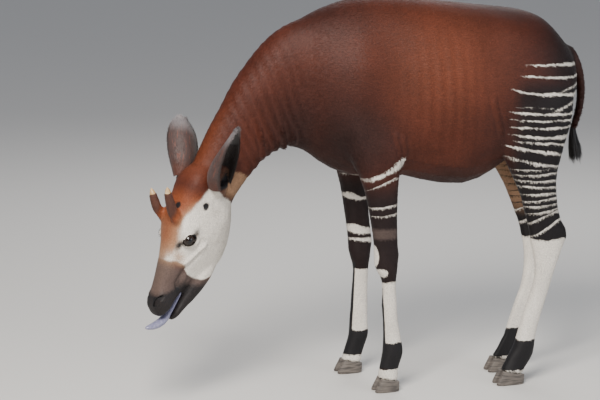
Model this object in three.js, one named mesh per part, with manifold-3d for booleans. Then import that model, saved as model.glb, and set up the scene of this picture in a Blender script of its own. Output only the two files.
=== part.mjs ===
// Okapi bull, life size, standing and lowering its head to feed with the tongue out.
// Millimetres. +Z is up, the animal looks along -X, its left flank is on the -Y side.
import * as THREE from "three";
import { mergeVertices } from "three/addons/utils/BufferGeometryUtils.js";
import Module from "manifold-3d";

const wasm = await Module();
wasm.setup();

// Overall sizes read from the picture and the species
const PART_GAP = 0.3; // between two nodes that meet
const EYE_RADIUS = 25;
const LID_THICKNESS = 4.5;
const TONGUE_WIDTH = 36;
const CORONET_HEIGHT = 47; // above the floor at the middle of the hoof
const CORONET_SLOPE = 0.2; // the coronet is higher at the toe than at the heel
const CLAW_SPREAD = 18; // middle of a claw from the middle of its foot
const OSSICONE_TIP_LENGTH = 24; // bare horn at the end of an ossicone
const TASSEL_LOCKS = 12;
const SEED = 1901;

// Directions of the body and of the lowered head
const Y = new THREE.Vector3(0, 1, 0);
const Z = new THREE.Vector3(0, 0, 1);
const FORWARD = new THREE.Vector3(-1, 0, 0);
const HEAD_TURN = THREE.MathUtils.degToRad(19);
const HEAD_DROP = THREE.MathUtils.degToRad(65.6);
const HEAD_ORIGIN = new THREE.Vector3(-439, -85, 849.5); // between the ears
const facing = new THREE.Vector3(-Math.cos(HEAD_TURN), -Math.sin(HEAD_TURN), 0);
const toNose = facing.clone().multiplyScalar(Math.cos(HEAD_DROP)).addScaledVector(Z, -Math.sin(HEAD_DROP));
const toBrow = facing.clone().multiplyScalar(Math.sin(HEAD_DROP)).addScaledVector(Z, Math.cos(HEAD_DROP));
const toLeft = new THREE.Vector3(-facing.y, facing.x, 0);

// A point of the head: n towards the nose, d towards the brow, l towards its left
const headPoint = (n, d, l) => HEAD_ORIGIN.clone()
  .addScaledVector(toNose, n).addScaledVector(toBrow, d).addScaledVector(toLeft, l);

const at = (x, y, z) => new THREE.Vector3(x, y, z);

// Seeded pseudo-random numbers between 0 and 1
let seedState = SEED;
function random() {
  seedState = (seedState * 1664525 + 1013904223) % 4294967296;
  return seedState / 4294967296;
}

// Swellings of flesh: how far a surface point is pushed out by the nearby ones
function swelling(point, swellings) {
  return swellings.reduce((sum, s) =>
    sum + s.by * Math.exp(-point.distanceToSquared(s.at) / (2 * s.reach * s.reach)), 0);
}

// A closed body through cross-sections. A station has its middle, half width w, reach up u, reach down d
// and squareness n. sideOf and upOf give the directions of a section from its place along the body.
function bodyOf(stations, rings, sides, sideOf, upOf, swellings = []) {
  const middles = new THREE.CatmullRomCurve3(stations.map((s) => s.middle), false, "centripetal");
  const sizes = new THREE.CatmullRomCurve3(stations.map((s) => at(s.w, s.u, s.d)), false, "centripetal");
  const squares = new THREE.CatmullRomCurve3(stations.map((s) => at(s.n ?? 2, 0, 0)), false, "centripetal");
  const points = [];
  for (let i = 0; i <= rings; i++) {
    const t = i / rings;
    const middle = middles.getPoint(t);
    const size = sizes.getPoint(t);
    const power = 2 / squares.getPoint(t).x;
    const tangent = middles.getTangent(t);
    const side = sideOf(t, tangent);
    const up = upOf(t, tangent, side);
    for (let k = 0; k < sides; k++) {
      const angle = (2 * Math.PI * k) / sides;
      const s = Math.sin(angle);
      const c = Math.cos(angle);
      const across = size.x * Math.sign(s) * Math.abs(s) ** power;
      const along = (c > 0 ? size.y : size.z) * Math.sign(c) * Math.abs(c) ** power;
      const offset = side.clone().multiplyScalar(across).addScaledVector(up, along);
      const point = middle.clone().add(offset);
      point.addScaledVector(offset.normalize(), swelling(point, swellings));
      points.push(point);
    }
  }
  return closedTube(points, rings, sides);
}

// Rings of points joined into one closed geometry with a fan at each end
function closedTube(points, rings, sides) {
  const positions = points.flatMap((p) => [p.x, p.y, p.z]);
  const middleOf = (ring) => {
    const sum = new THREE.Vector3();
    for (let k = 0; k < sides; k++) sum.add(points[ring * sides + k]);
    return sum.divideScalar(sides);
  };
  const first = middleOf(0);
  const last = middleOf(rings);
  positions.push(first.x, first.y, first.z, last.x, last.y, last.z);
  const firstIndex = points.length;
  const lastIndex = firstIndex + 1;
  const index = [];
  for (let i = 0; i < rings; i++) {
    for (let k = 0; k < sides; k++) {
      const a = i * sides + k;
      const b = i * sides + ((k + 1) % sides);
      index.push(a, b, a + sides, b, b + sides, a + sides);
    }
  }
  for (let k = 0; k < sides; k++) {
    const next = (k + 1) % sides;
    index.push(firstIndex, next, k);
    index.push(lastIndex, rings * sides + k, rings * sides + next);
  }
  const geometry = new THREE.BufferGeometry();
  geometry.setAttribute("position", new THREE.Float32BufferAttribute(positions, 3));
  geometry.setIndex(index);
  return geometry;
}

// Two grids of points, one on each face of a bent sheet, joined into one closed geometry
function closedSheet(inner, outer, rows, columns) {
  const positions = [...inner, ...outer].flatMap((p) => [p.x, p.y, p.z]);
  const low = (i, k) => i * (columns + 1) + k;
  const high = (i, k) => inner.length + low(i, k);
  const index = [];
  const quad = (a, b, c, d) => index.push(a, b, c, a, c, d);
  for (let i = 0; i < rows; i++) {
    for (let k = 0; k < columns; k++) {
      quad(low(i, k), low(i + 1, k), low(i + 1, k + 1), low(i, k + 1));
      quad(high(i, k), high(i, k + 1), high(i + 1, k + 1), high(i + 1, k));
    }
    quad(low(i, 0), high(i, 0), high(i + 1, 0), low(i + 1, 0));
    quad(low(i, columns), low(i + 1, columns), high(i + 1, columns), high(i, columns));
  }
  for (let k = 0; k < columns; k++) {
    quad(low(0, k), low(0, k + 1), high(0, k + 1), high(0, k));
    quad(low(rows, k), high(rows, k), high(rows, k + 1), low(rows, k + 1));
  }
  const geometry = new THREE.BufferGeometry();
  geometry.setAttribute("position", new THREE.Float32BufferAttribute(positions, 3));
  geometry.setIndex(index);
  return geometry;
}

// A geometry as a solid, its faces turned outwards
function solid(geometry) {
  const bare = geometry.clone();
  bare.deleteAttribute("normal");
  bare.deleteAttribute("uv");
  const merged = mergeVertices(bare, 1e-4);
  const triVerts = new Uint32Array(merged.index.array);
  const make = () => new wasm.Manifold(new wasm.Mesh({
    numProp: 3, vertProperties: new Float32Array(merged.attributes.position.array), triVerts,
  }));
  const made = make();
  if (made.volume() > 0) return made;
  for (let i = 0; i < triVerts.length; i += 3) {
    [triVerts[i + 1], triVerts[i + 2]] = [triVerts[i + 2], triVerts[i + 1]];
  }
  return make();
}

// The largest closed surface of a solid
function largest(body) {
  return body.decompose().reduce((a, b) => (a.volume() > b.volume() ? a : b));
}

// Everything on the far side of a plane, as a large block
const REACH = 4000;
function beyond(point, normal, gap = PART_GAP / 2) {
  const block = new THREE.BoxGeometry(REACH, REACH, REACH);
  block.translate(0, 0, REACH / 2 + gap);
  block.applyQuaternion(new THREE.Quaternion().setFromUnitVectors(Z, normal.clone().normalize()));
  block.translate(point.x, point.y, point.z);
  return solid(block);
}

function blockBetween(low, high) {
  const block = new THREE.BoxGeometry(high.x - low.x, high.y - low.y, high.z - low.z);
  block.translate((low.x + high.x) / 2, (low.y + high.y) / 2, (low.z + high.z) / 2);
  return solid(block);
}

function ballAt(middle, radius, wide = 13, high = 9) {
  const ball = new THREE.SphereGeometry(radius, wide, high);
  ball.translate(middle.x, middle.y, middle.z);
  return solid(ball);
}

const group = new THREE.Group();
group.name = "okapi";

const looks = {
  coat: { color: 0x4a1f12, roughness: 0.7 },
  pale_hair: { color: 0xb9aca0, roughness: 0.75 },
  ear_skin: { color: 0x6b4a40, roughness: 0.7 },
  horn: { color: 0xcdb78a, roughness: 0.35 },
  hoof: { color: 0x5d554c, roughness: 0.55 },
  eye: { color: 0x120b08, roughness: 0.08 },
  tongue: { color: 0x8587a4, roughness: 0.4 },
  black_hair: { color: 0x15110f, roughness: 0.7 },
};

function put(name, look, body) {
  const kept = largest(body).getMesh();
  const count = kept.numProp;
  const positions = [];
  for (let i = 0; i < kept.vertProperties.length; i += count) {
    positions.push(...kept.vertProperties.subarray(i, i + 3));
  }
  const geometry = new THREE.BufferGeometry();
  geometry.setAttribute("position", new THREE.Float32BufferAttribute(positions, 3));
  geometry.setIndex(new THREE.Uint32BufferAttribute(kept.triVerts, 1));
  geometry.computeVertexNormals();
  const material = new THREE.MeshStandardMaterial({ ...looks[look], metalness: 0 });
  material.name = look;
  const mesh = new THREE.Mesh(geometry, material);
  mesh.name = name;
  group.add(mesh);
}

// Torso: upright sections from the breast to the rump. Row: x, top, bottom, half width, widest level, squareness
const TORSO = [
  [-62, 1180, 1040, 60, 1110, 2],
  [-50, 1350, 975, 105, 1135, 2],
  [0, 1417, 915, 138, 1150, 2],
  [80, 1452, 855, 168, 1150, 2.1],
  [170, 1478, 815, 184, 1145, 2.15],
  [260, 1486, 800, 196, 1135, 2.2],
  [380, 1480, 803, 214, 1115, 2.2],
  [500, 1466, 770, 230, 1095, 2.15],
  [610, 1453, 758, 234, 1095, 2.15],
  [710, 1441, 786, 224, 1110, 2.1],
  [790, 1431, 842, 206, 1130, 2.1],
  [870, 1417, 880, 192, 1150, 2.1],
  [940, 1390, 905, 176, 1150, 2.1],
  [1000, 1338, 945, 152, 1140, 2],
  [1045, 1283, 1000, 118, 1135, 2],
  [1075, 1230, 1060, 74, 1145, 2],
  [1088, 1190, 1110, 30, 1150, 2],
];
const FLANK_SWELLINGS = [
  { at: at(150, -200, 1200), by: 10, reach: 90 },
  { at: at(150, 200, 1200), by: 10, reach: 90 },
  { at: at(700, -210, 1060), by: -14, reach: 70 },
  { at: at(700, 210, 1060), by: -14, reach: 70 },
  { at: at(870, -190, 1180), by: 12, reach: 110 },
  { at: at(870, 190, 1180), by: 12, reach: 110 },
  { at: at(760, -180, 1370), by: 8, reach: 60 },
  { at: at(760, 180, 1370), by: 8, reach: 60 },
];
const torsoBody = solid(bodyOf(
  TORSO.map(([x, top, bottom, w, level, n]) => ({
    middle: at(x, 0, level), w, u: top - level, d: level - bottom, n,
  })),
  24, 24, () => Y.clone(), () => Z.clone(), FLANK_SWELLINGS,
));

// Neck: laterally flat, bending down and a little to the left. Row: x, y, z, half width, crest, throat
const NECK = [
  [150, 0, 1140, 120, 262, 240],
  [40, 0, 1150, 128, 266, 262],
  [-50, -1, 1128, 118, 238, 225],
  [-140, -6, 1085, 98, 180, 176],
  [-240, -22, 1000, 82, 131, 131],
  [-312, -42, 920, 73, 112, 117],
  [-368, -60, 855, 70, 92, 116],
  [-405, -72, 812, 66, 60, 122],
  [-428, -80, 782, 58, 40, 100],
];
// Loose skin of the lower throat hangs in upright folds: place along the neck, height, breadth
const THROAT_FOLDS = [
  [0.305, 13, 9],
  [0.375, 17, 9],
  [0.44, 9, 7],
  [0.5, 7, 7],
];
const NECK_RINGS = 40;
const neckStations = NECK.map(([x, y, z, w, u, d]) => ({ middle: at(x, y, z), w, u, d, n: 2.1 }));
const neckLine = new THREE.CatmullRomCurve3(neckStations.map((s) => s.middle), false, "centripetal");
const neckUp = (t, tangent, side) => side.clone().cross(tangent).normalize();
const FOLD_SWELLINGS = THROAT_FOLDS.flatMap(([t, height, breadth]) => {
  const middle = neckLine.getPoint(t);
  const tangent = neckLine.getTangent(t);
  const up = Y.clone().cross(tangent).normalize();
  const d = 262 - 300 * Math.max(0, t - 0.14);
  return [0, 1, 2].flatMap((step) => [-1, 1].map((sideSign) => ({
    at: middle.clone().addScaledVector(up, -d * (0.98 - 0.16 * step)).add(at(0, sideSign * 32 * step, 0)),
    by: height / (1 + 0.5 * step),
    reach: breadth * (1 + 0.2 * step),
  })));
});
const neckBody = solid(bodyOf(
  neckStations, NECK_RINGS, 22, () => Y.clone(), neckUp, FOLD_SWELLINGS,
));

// Head: sections across the line from poll to nose. Row: n, top, bottom, half width, widest level, squareness
const HEAD = [
  [-62, 8, -70, 34, -30, 2],
  [-50, 28, -105, 52, -35, 2],
  [-20, 46, -135, 66, -35, 2.1],
  [30, 58, -172, 76, -34, 2.2],
  [80, 62, -192, 81, -36, 2.25],
  [130, 61, -208, 84, -38, 2.25],
  [180, 56, -219, 86, -36, 2.2],
  [225, 47, -221, 82, -36, 2.1],
  [270, 37, -212, 71, -40, 2.05],
  [315, 28, -186, 60, -42, 2.1],
  [350, 22, -148, 54, -38, 2.2],
  [380, 18, -112, 49, -38, 2.3],
  [410, 14, -94, 47, -38, 2.4],
  [440, 11, -80, 48, -36, 2.4],
  [468, 7, -70, 48, -34, 2.4],
  [490, -2, -62, 43, -34, 2.3],
  [506, -15, -55, 32, -36, 2.2],
  [514, -28, -46, 16, -37, 2],
];
const headSwellings = [-1, 1].flatMap((s) => [
  { at: headPoint(205, 18, s * 88), by: 11, reach: 24 }, // brow over the eye
  { at: headPoint(222, -32, s * 84), by: 5, reach: 26 }, // below the eye
  { at: headPoint(262, -6, s * 72), by: -6, reach: 22 }, // hollow before the eye
  { at: headPoint(120, -100, s * 84), by: 9, reach: 46 }, // jaw muscle
  { at: headPoint(288, -78, s * 64), by: 5, reach: 26 }, // end of the cheek ridge
  { at: headPoint(330, -100, s * 56), by: -6, reach: 24 }, // hollow behind the mouth corner
  { at: headPoint(462, -4, s * 40), by: 7, reach: 15 }, // wing of the nostril
  { at: headPoint(470, -46, s * 44), by: 5, reach: 16 }, // upper lip
  { at: headPoint(160, 60, s * 42), by: 7, reach: 24 }, // foot of the ossicone
  { at: headPoint(12, 20, s * 62), by: 12, reach: 30 }, // foot of the ear
]);
const alongHead = (rows) => rows.map(([n, top, bottom, w, level, square]) => ({
  middle: headPoint(n, level, 0), w, u: top - level, d: level - bottom, n: square,
}));
const skullBody = solid(bodyOf(
  alongHead(HEAD), 31, 28, () => toLeft.clone(), () => toBrow.clone(), headSwellings,
));

// Lower jaw with its lip, hanging a little open under the tongue
const JAW = [
  [250, -118, -208, 50, -160, 2],
  [310, -112, -201, 52, -154, 2.1],
  [360, -106, -185, 48, -144, 2.2],
  [410, -102, -163, 42, -132, 2.2],
  [450, -97, -140, 34, -118, 2.3],
  [482, -92, -124, 30, -107, 2.2],
  [502, -90, -115, 20, -102, 2.1],
  [511, -96, -106, 9, -101, 2],
];
const jawSwellings = [
  { at: headPoint(488, -124, 0), by: 5, reach: 16 }, // chin
  { at: headPoint(470, -100, 32), by: 3, reach: 14 },
  { at: headPoint(470, -100, -32), by: 3, reach: 14 },
];
const jawBody = solid(bodyOf(
  alongHead(JAW), 13, 16, () => toLeft.clone(), () => toBrow.clone(), jawSwellings,
));

// Foreleg. Row: z, front x, rear x, middle y, half width
const FORELEG_LEFT = [
  [1170, 60, 290, -104, 60],
  [1060, 72, 330, -118, 71],
  [960, 104, 350, -124, 72],
  [885, 143, 346, -128, 68],
  [815, 179, 328, -129, 58],
  [740, 203, 325, -128, 49],
  [670, 217, 325, -125, 43],
  [600, 229, 328, -123, 38],
  [545, 236, 331, -121, 37],
  [500, 240, 331, -120, 40],
  [468, 248, 329, -120, 40],
  [438, 262, 326, -120, 35],
  [405, 267, 325, -120, 30],
  [345, 267, 329, -119, 27],
  [275, 273, 334, -118, 26],
  [205, 275, 347, -118, 28],
  [170, 274, 354, -118, 33],
  [145, 272, 356, -118, 35],
  [113, 266, 347, -118, 32],
  [85, 260, 338, -118, 31],
  [58, 256, 336, -118, 34],
  [20, 250, 334, -118, 34],
];
const FORELEG_RIGHT = [
  [1170, 60, 290, 104, 60],
  [1060, 72, 325, 120, 71],
  [960, 104, 342, 128, 72],
  [885, 143, 336, 135, 68],
  [800, 180, 318, 143, 57],
  [725, 200, 310, 151, 48],
  [655, 212, 312, 154, 42],
  [600, 221, 319, 157, 38],
  [545, 229, 326, 159, 37],
  [500, 236, 326, 161, 40],
  [465, 242, 323, 162, 40],
  [432, 250, 320, 164, 35],
  [400, 252, 318, 165, 30],
  [340, 249, 316, 166, 27],
  [260, 245, 317, 168, 26],
  [200, 241, 318, 170, 28],
  [165, 240, 321, 170, 33],
  [142, 238, 320, 171, 35],
  [113, 229, 310, 171, 32],
  [82, 219, 300, 172, 31],
  [58, 213, 293, 172, 34],
  [20, 203, 289, 172, 34],
];
const HIND_LEG_LEFT = [
  [1230, 760, 1010, -92, 60],
  [1120, 705, 1040, -118, 78],
  [1020, 695, 1030, -134, 80],
  [950, 712, 1010, -140, 74],
  [900, 738, 992, -143, 68],
  [850, 760, 974, -146, 60],
  [795, 781, 961, -149, 52],
  [735, 809, 960, -151, 46],
  [665, 828, 972, -153, 40],
  [610, 843, 988, -155, 37],
  [568, 852, 1000, -157, 36],
  [535, 860, 995, -158, 36],
  [490, 869, 978, -160, 33],
  [440, 874, 959, -162, 29],
  [390, 868, 942, -164, 27],
  [330, 848, 923, -166, 27],
  [260, 821, 900, -168, 27],
  [200, 805, 883, -169, 29],
  [165, 794, 876, -170, 34],
  [138, 784, 873, -170, 35],
  [108, 765, 868, -171, 33],
  [80, 750, 852, -171, 32],
  [55, 738, 832, -171, 34],
  [20, 724, 826, -171, 34],
];
const HIND_LEG_RIGHT = [
  [1230, 760, 1010, 92, 60],
  [1120, 710, 1045, 116, 78],
  [1020, 705, 1042, 122, 78],
  [950, 725, 1030, 118, 72],
  [900, 752, 1018, 110, 66],
  [850, 780, 1008, 100, 59],
  [795, 808, 1000, 87, 52],
  [735, 840, 1002, 74, 46],
  [665, 866, 1014, 61, 40],
  [610, 884, 1030, 50, 37],
  [568, 898, 1046, 42, 36],
  [535, 906, 1040, 37, 36],
  [490, 912, 1022, 31, 33],
  [440, 914, 1000, 27, 29],
  [390, 911, 986, 24, 27],
  [330, 899, 973, 20, 27],
  [260, 870, 948, 17, 27],
  [200, 850, 929, 15, 29],
  [165, 838, 920, 14, 34],
  [138, 830, 918, 13, 35],
  [108, 812, 912, 13, 33],
  [80, 796, 897, 12, 32],
  [55, 780, 878, 12, 34],
  [20, 766, 870, 12, 34],
];
const upright = (rows) => rows.map(([z, front, rear, y, w]) => ({
  middle: at((front + rear) / 2, y, z), w, u: (rear - front) / 2, d: (rear - front) / 2, n: 2.15,
}));
const legOf = (rows, rings, sides, swellings) => solid(bodyOf(
  upright(rows), rings, sides, () => Y.clone(), () => FORWARD.clone(), swellings,
));
// Knee, tendon and hock forms of one leg, from its outer side
const forelegSwellings = (y, knee) => [
  { at: at(knee, y, 490), by: 5, reach: 22 },
  { at: at(knee + 42, y - 30, 400), by: -4, reach: 26 },
  { at: at(knee + 42, y + 30, 400), by: -4, reach: 26 },
  { at: at(knee + 90, y, 515), by: 6, reach: 14 },
];
const hindLegSwellings = (y, hock) => [
  { at: at(hock, y, 575), by: 10, reach: 20 },
  { at: at(hock - 45, y - 34, 640), by: -8, reach: 24 },
  { at: at(hock - 45, y + 34, 640), by: -8, reach: 24 },
  { at: at(hock - 120, y, 530), by: 4, reach: 26 },
];
const legBodies = {
  foreleg_left: legOf(FORELEG_LEFT, 27, 14, forelegSwellings(-120, 240)),
  foreleg_right: legOf(FORELEG_RIGHT, 27, 14, forelegSwellings(162, 236)),
  hind_leg_left: legOf(HIND_LEG_LEFT, 29, 16, hindLegSwellings(-157, 1000)),
  hind_leg_right: legOf(HIND_LEG_RIGHT, 29, 16, hindLegSwellings(42, 1046)),
};

// Claws: two to a foot, each with a wall that widens to a flat sole. Foot: x of the toe, x of the heel, y
const FEET = {
  front_left: [238, 336, -118],
  front_right: [188, 290, 172],
  hind_left: [712, 826, -171],
  hind_right: [754, 870, 12],
};
const CLAW_WIDTH = 17;
const CLAW_TOP = 80;
function coronetPlane([toe, heel, y]) {
  return {
    point: at((toe + heel) / 2, y, CORONET_HEIGHT),
    normal: at(CORONET_SLOPE, 0, 1).normalize(),
  };
}
function clawOf([toe, heel, y], hand) {
  const rows = [
    [0, toe, heel - 2, CLAW_WIDTH],
    [6, toe - 1, heel - 1, CLAW_WIDTH + 0.6],
    [30, toe + 12, heel, CLAW_WIDTH],
    [55, toe + 25, heel, CLAW_WIDTH - 1],
    [CLAW_TOP, toe + 34, heel, CLAW_WIDTH - 2],
  ];
  const stations = rows.map(([z, front, rear, w]) => ({
    middle: at((front + rear) / 2, y + hand * (CLAW_SPREAD + 0.03 * (heel - front)), z),
    w, u: (rear - front) / 2, d: (rear - front) / 2, n: 2.5,
  }));
  const side = at(-0.05 * hand, 1, 0).normalize();
  return solid(bodyOf(stations, 5, 12, () => side.clone(), () => FORWARD.clone()));
}

// The whole skin as one body, before it is parted
const bare = [torsoBody, neckBody, skullBody, jawBody, ...Object.values(legBodies)]
  .reduce((a, b) => a.add(b));

// Eyes in their lids
const EYE_PLACE = { n: 219, d: -12, l: 69 };
const EYE_LOOK = { n: 0.2, d: 0.32, l: 1 };
const LID_LENGTH = 26;
const LID_HEIGHT = 17;
const LID_TILT = THREE.MathUtils.degToRad(32); // the inner corner is turned up to the brow
function almond(hand) {
  const outline = new THREE.Shape();
  outline.moveTo(-LID_LENGTH, -2);
  outline.quadraticCurveTo(-2, LID_HEIGHT * 1.9, LID_LENGTH, 1);
  outline.quadraticCurveTo(4, -LID_HEIGHT * 1.7, -LID_LENGTH, -2);
  const prism = new THREE.ExtrudeGeometry(outline, { depth: 60, bevelEnabled: false, curveSegments: 7 });
  prism.rotateZ(LID_TILT);
  const out = headPoint(EYE_LOOK.n, EYE_LOOK.d, hand * EYE_LOOK.l).sub(HEAD_ORIGIN).normalize();
  const across = toNose.clone().addScaledVector(out, -toNose.dot(out)).normalize();
  const placed = new THREE.Matrix4().makeBasis(
    across, toBrow.clone().addScaledVector(out, -toBrow.dot(out)).normalize(), out,
  );
  placed.setPosition(headPoint(EYE_PLACE.n, EYE_PLACE.d, hand * EYE_PLACE.l));
  prism.applyMatrix4(placed);
  return solid(prism);
}
const eyeMiddle = (hand) => headPoint(EYE_PLACE.n, EYE_PLACE.d, hand * EYE_PLACE.l);
let flesh = bare;
for (const hand of [-1, 1]) {
  flesh = flesh
    .add(ballAt(eyeMiddle(hand), EYE_RADIUS + LID_THICKNESS))
    .subtract(almond(hand))
    .subtract(ballAt(eyeMiddle(hand), EYE_RADIUS + PART_GAP));
}

// Nostrils: slits that run up and back from the front of the nose
for (const hand of [-1, 1]) {
  const slit = new THREE.SphereGeometry(1, 10, 8);
  slit.scale(17, 6.5, 12);
  slit.rotateZ(THREE.MathUtils.degToRad(-38));
  const placed = new THREE.Matrix4().makeBasis(
    toNose.clone(), toBrow.clone(), toLeft.clone().multiplyScalar(hand),
  );
  placed.setPosition(headPoint(474, -10, hand * 36));
  slit.applyMatrix4(placed);
  flesh = flesh.subtract(solid(slit));
}

// Tongue: out of the mouth and curling forwards under the nose. Row: n, d, l, half width, half thickness
const TONGUE = [
  [395, -98, 0, 10, 3],
  [405, -97, 0, TONGUE_WIDTH / 2, 7],
  [450, -90, 0, TONGUE_WIDTH / 2, 9],
  [490, -81, 1, TONGUE_WIDTH / 2, 11],
  [518, -73, 2, TONGUE_WIDTH / 2 + 1, 14],
  [543, -52, 3, TONGUE_WIDTH / 2, 14],
  [559, -28, 4, TONGUE_WIDTH / 2 - 5, 10],
  [566, -13, 5, 8, 6],
  [567, -8, 5, 3, 2],
];
const tongueOf = (grow) => solid(bodyOf(
  TONGUE.map(([n, d, l, w, h]) => ({ middle: headPoint(n, d, l), w: w + grow, u: h + grow, d: h + grow, n: 2.2 })),
  13, 12, () => toLeft.clone(), (t, tangent, side) => side.clone().cross(tangent).normalize(),
));
const tongueBody = tongueOf(0);
flesh = flesh.subtract(tongueOf(PART_GAP));

// Ossicones: skin-covered cones over the eyes, leaning back, with bare polished tips
const ossiconeLine = (hand) => (hand > 0
  ? [[182, 10, 36], [165, 46, 44], [140, 82, 49], [112, 113, 54], [80, 140, 60]]
  : [[182, 6, -36], [168, 40, -44], [148, 74, -50], [124, 99, -55], [96, 119, -60]]
).map((place) => headPoint(...place));
const OSSICONE_SIZES = [27, 23, 18.5, 14, 11];
const ossiconeOf = (hand, grow) => {
  const line = ossiconeLine(hand);
  const stations = line.map((middle, i) => ({
    middle, w: OSSICONE_SIZES[i] + grow, u: OSSICONE_SIZES[i] + grow, d: OSSICONE_SIZES[i] + grow,
  }));
  const [before, end] = line.slice(-2);
  const out = end.clone().sub(before).normalize();
  for (const [ahead, radius] of [[8, 7 + grow], [12 + grow, 3 + grow]]) {
    stations.push({ middle: end.clone().addScaledVector(out, ahead), w: radius, u: radius, d: radius });
  }
  return solid(bodyOf(
    stations, 10, 10, () => toLeft.clone(), (t, tangent, side) => side.clone().cross(tangent).normalize(),
  ));
};

// Ears: broad leaves rolled into a cup, open to the outside. The blade is a rolled sheet with thickness.
const EAR_THICKNESS = 5;
const EAR_GAP = 0.7; // round the root of an ear
const EAR_CURL = 0.12; // the tip leans towards the opening
const EAR_DEPTH = 0.68; // depth of the cup against its width
function earDirections({ base, tip, open }) {
  const along = tip.clone().sub(base);
  const axis = along.clone().normalize();
  const face = open.clone().addScaledVector(axis, -open.dot(axis)).normalize();
  return { along, axis, face, across: axis.clone().cross(face) };
}
function earOf(ear, grow) {
  const { base, width, roll, outline } = ear;
  const { along, face, across } = earDirections(ear);
  const ROWS = 12;
  const COLUMNS = 9;
  const past = grow / along.length();
  const profile = new THREE.SplineCurve(outline.map((w, i) => new THREE.Vector2(i, w)));
  const inner = [];
  const outer = [];
  for (let i = 0; i <= ROWS; i++) {
    const share = i / ROWS;
    const t = share + (i === 0 ? -past : 0) + (i === ROWS ? past : 0);
    const halfWidth = (width / 2) * profile.getPoint(share).y;
    const roundness = THREE.MathUtils.lerp(roll[0], roll[1], share);
    const radius = halfWidth / Math.sin(Math.min(roundness, Math.PI / 2));
    const bend = roundness + grow / radius;
    const thin = EAR_THICKNESS * (1 - 0.45 * share) + 2 * grow;
    for (let k = 0; k <= COLUMNS; k++) {
      const side = (2 * k) / COLUMNS - 1;
      const angle = side * bend;
      const edge = thin * (1 - 0.6 * side * side);
      const place = (r) => base.clone().addScaledVector(along, t)
        .addScaledVector(across, r * Math.sin(angle))
        .addScaledVector(face, EAR_DEPTH * (radius * Math.cos(roundness) - r * Math.cos(angle)))
        .addScaledVector(face, EAR_CURL * width * t * t);
      inner.push(place(radius - edge / 2));
      outer.push(place(radius + edge / 2));
    }
  }
  return solid(closedSheet(inner, outer, ROWS, COLUMNS));
}
const EARS = {
  left: {
    base: headPoint(-1, -66, 99), tip: headPoint(-195, 50, 184),
    open: headPoint(-80, -80, 300).sub(HEAD_ORIGIN), width: 120, roll: [2.4, 1.15],
    outline: [0.8, 0.95, 1.04, 1.06, 1.02, 0.94, 0.83, 0.68, 0.46, 0.16],
  },
  right: {
    base: headPoint(16, 12, -74), tip: headPoint(-203, 26, -150),
    open: headPoint(-40, 0, -330).sub(HEAD_ORIGIN), width: 134, roll: [2.2, 0.85],
    outline: [0.5, 0.62, 0.76, 0.87, 0.95, 1, 1, 0.93, 0.73, 0.32],
  },
};
// The flesh inside the foot of an ear, that its leaf wraps round
const EAR_FOOT = [[-60, 0.45], [-35, 0.8], [-14, 0.95], [0, 1], [8, 0.8]]; // way along the ear, share of its radius
function earFoot(ear) {
  const { axis, face } = earDirections(ear);
  const ring = (ear.width / 2) * ear.outline[0];
  const middle = ear.base.clone().addScaledVector(face, EAR_DEPTH * ring * Math.cos(ear.roll[0]));
  const stations = EAR_FOOT.map(([way, share]) => {
    const u = share * (ring - EAR_THICKNESS);
    return { middle: middle.clone().addScaledVector(axis, way), w: EAR_DEPTH * u, u, d: u };
  });
  return solid(bodyOf(
    stations, 5, 12, () => face.clone(), (t, tangent, side) => side.clone().cross(tangent).normalize(),
  ));
}

// Tail. Row: x, y, z, radius
const TAIL = [
  [1010, 0, 1262, 30],
  [1050, 0, 1258, 30],
  [1092, 0, 1212, 24],
  [1117, 0, 1150, 19],
  [1124, -2, 1080, 16],
  [1115, -5, 1015, 14],
  [1098, -8, 965, 13],
  [1088, -9, 935, 12],
];
const tailOf = (grow) => solid(bodyOf(
  TAIL.map(([x, y, z, r]) => ({ middle: at(x, y, z), w: r * 1.1 + grow, u: r + grow, d: r + grow })),
  12, 10, () => Y.clone(), (t, tangent, side) => side.clone().cross(tangent).normalize(),
));
// The tassel: a short core, and long locks of hair that overlap round it and sweep back.
// Row: x, y, z, radius
const TASSEL_CORE = [
  [1094, -9, 952, 8],
  [1092, -9, 940, 14],
  [1093, -10, 912, 12],
  [1098, -11, 885, 4],
];
const TASSEL_ROOT = at(1092, -9, 944);
const LOCK_RING = 8; // radius of the ring that the locks grow from
const LOCK_WIDTH = 13;
const LOCK_THICKNESS = 5;
const LOCK_LENGTHS = [92, 126];
const LOCK_SWEEP = 22; // how far the tips lie behind the roots
const LOCK_SPREAD = 17; // how far the tips stand apart from the middle
const GOLDEN_TURN = 2.4;
function lockOf(count) {
  const turn = count * GOLDEN_TURN;
  const out = at(Math.cos(turn), Math.sin(turn), 0);
  const round = at(-Math.sin(turn), Math.cos(turn), 0);
  const length = THREE.MathUtils.lerp(LOCK_LENGTHS[0], LOCK_LENGTHS[1], random());
  const root = TASSEL_ROOT.clone().addScaledVector(out, LOCK_RING).addScaledVector(Z, -12 * random());
  const sway = 7 * (random() - 0.5);
  const stations = [0, 0.2, 0.45, 0.7, 0.88, 1].map((t) => {
    const middle = root.clone().addScaledVector(Z, -length * t)
      .addScaledVector(out, LOCK_SPREAD * t * (0.4 + 0.6 * t))
      .addScaledVector(FORWARD, -LOCK_SWEEP * t * t)
      .addScaledVector(round, sway * Math.sin(Math.PI * t));
    const thick = (LOCK_THICKNESS / 2) * (1 - 0.8 * t);
    return { middle, w: (LOCK_WIDTH / 2) * (0.75 + 0.5 * Math.sin(Math.PI * t) - 0.66 * t ** 3), u: thick, d: thick };
  });
  return solid(bodyOf(
    stations, 4, 4, () => round.clone(), (t, tangent, side) => side.clone().cross(tangent).normalize(),
  ));
}
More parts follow.
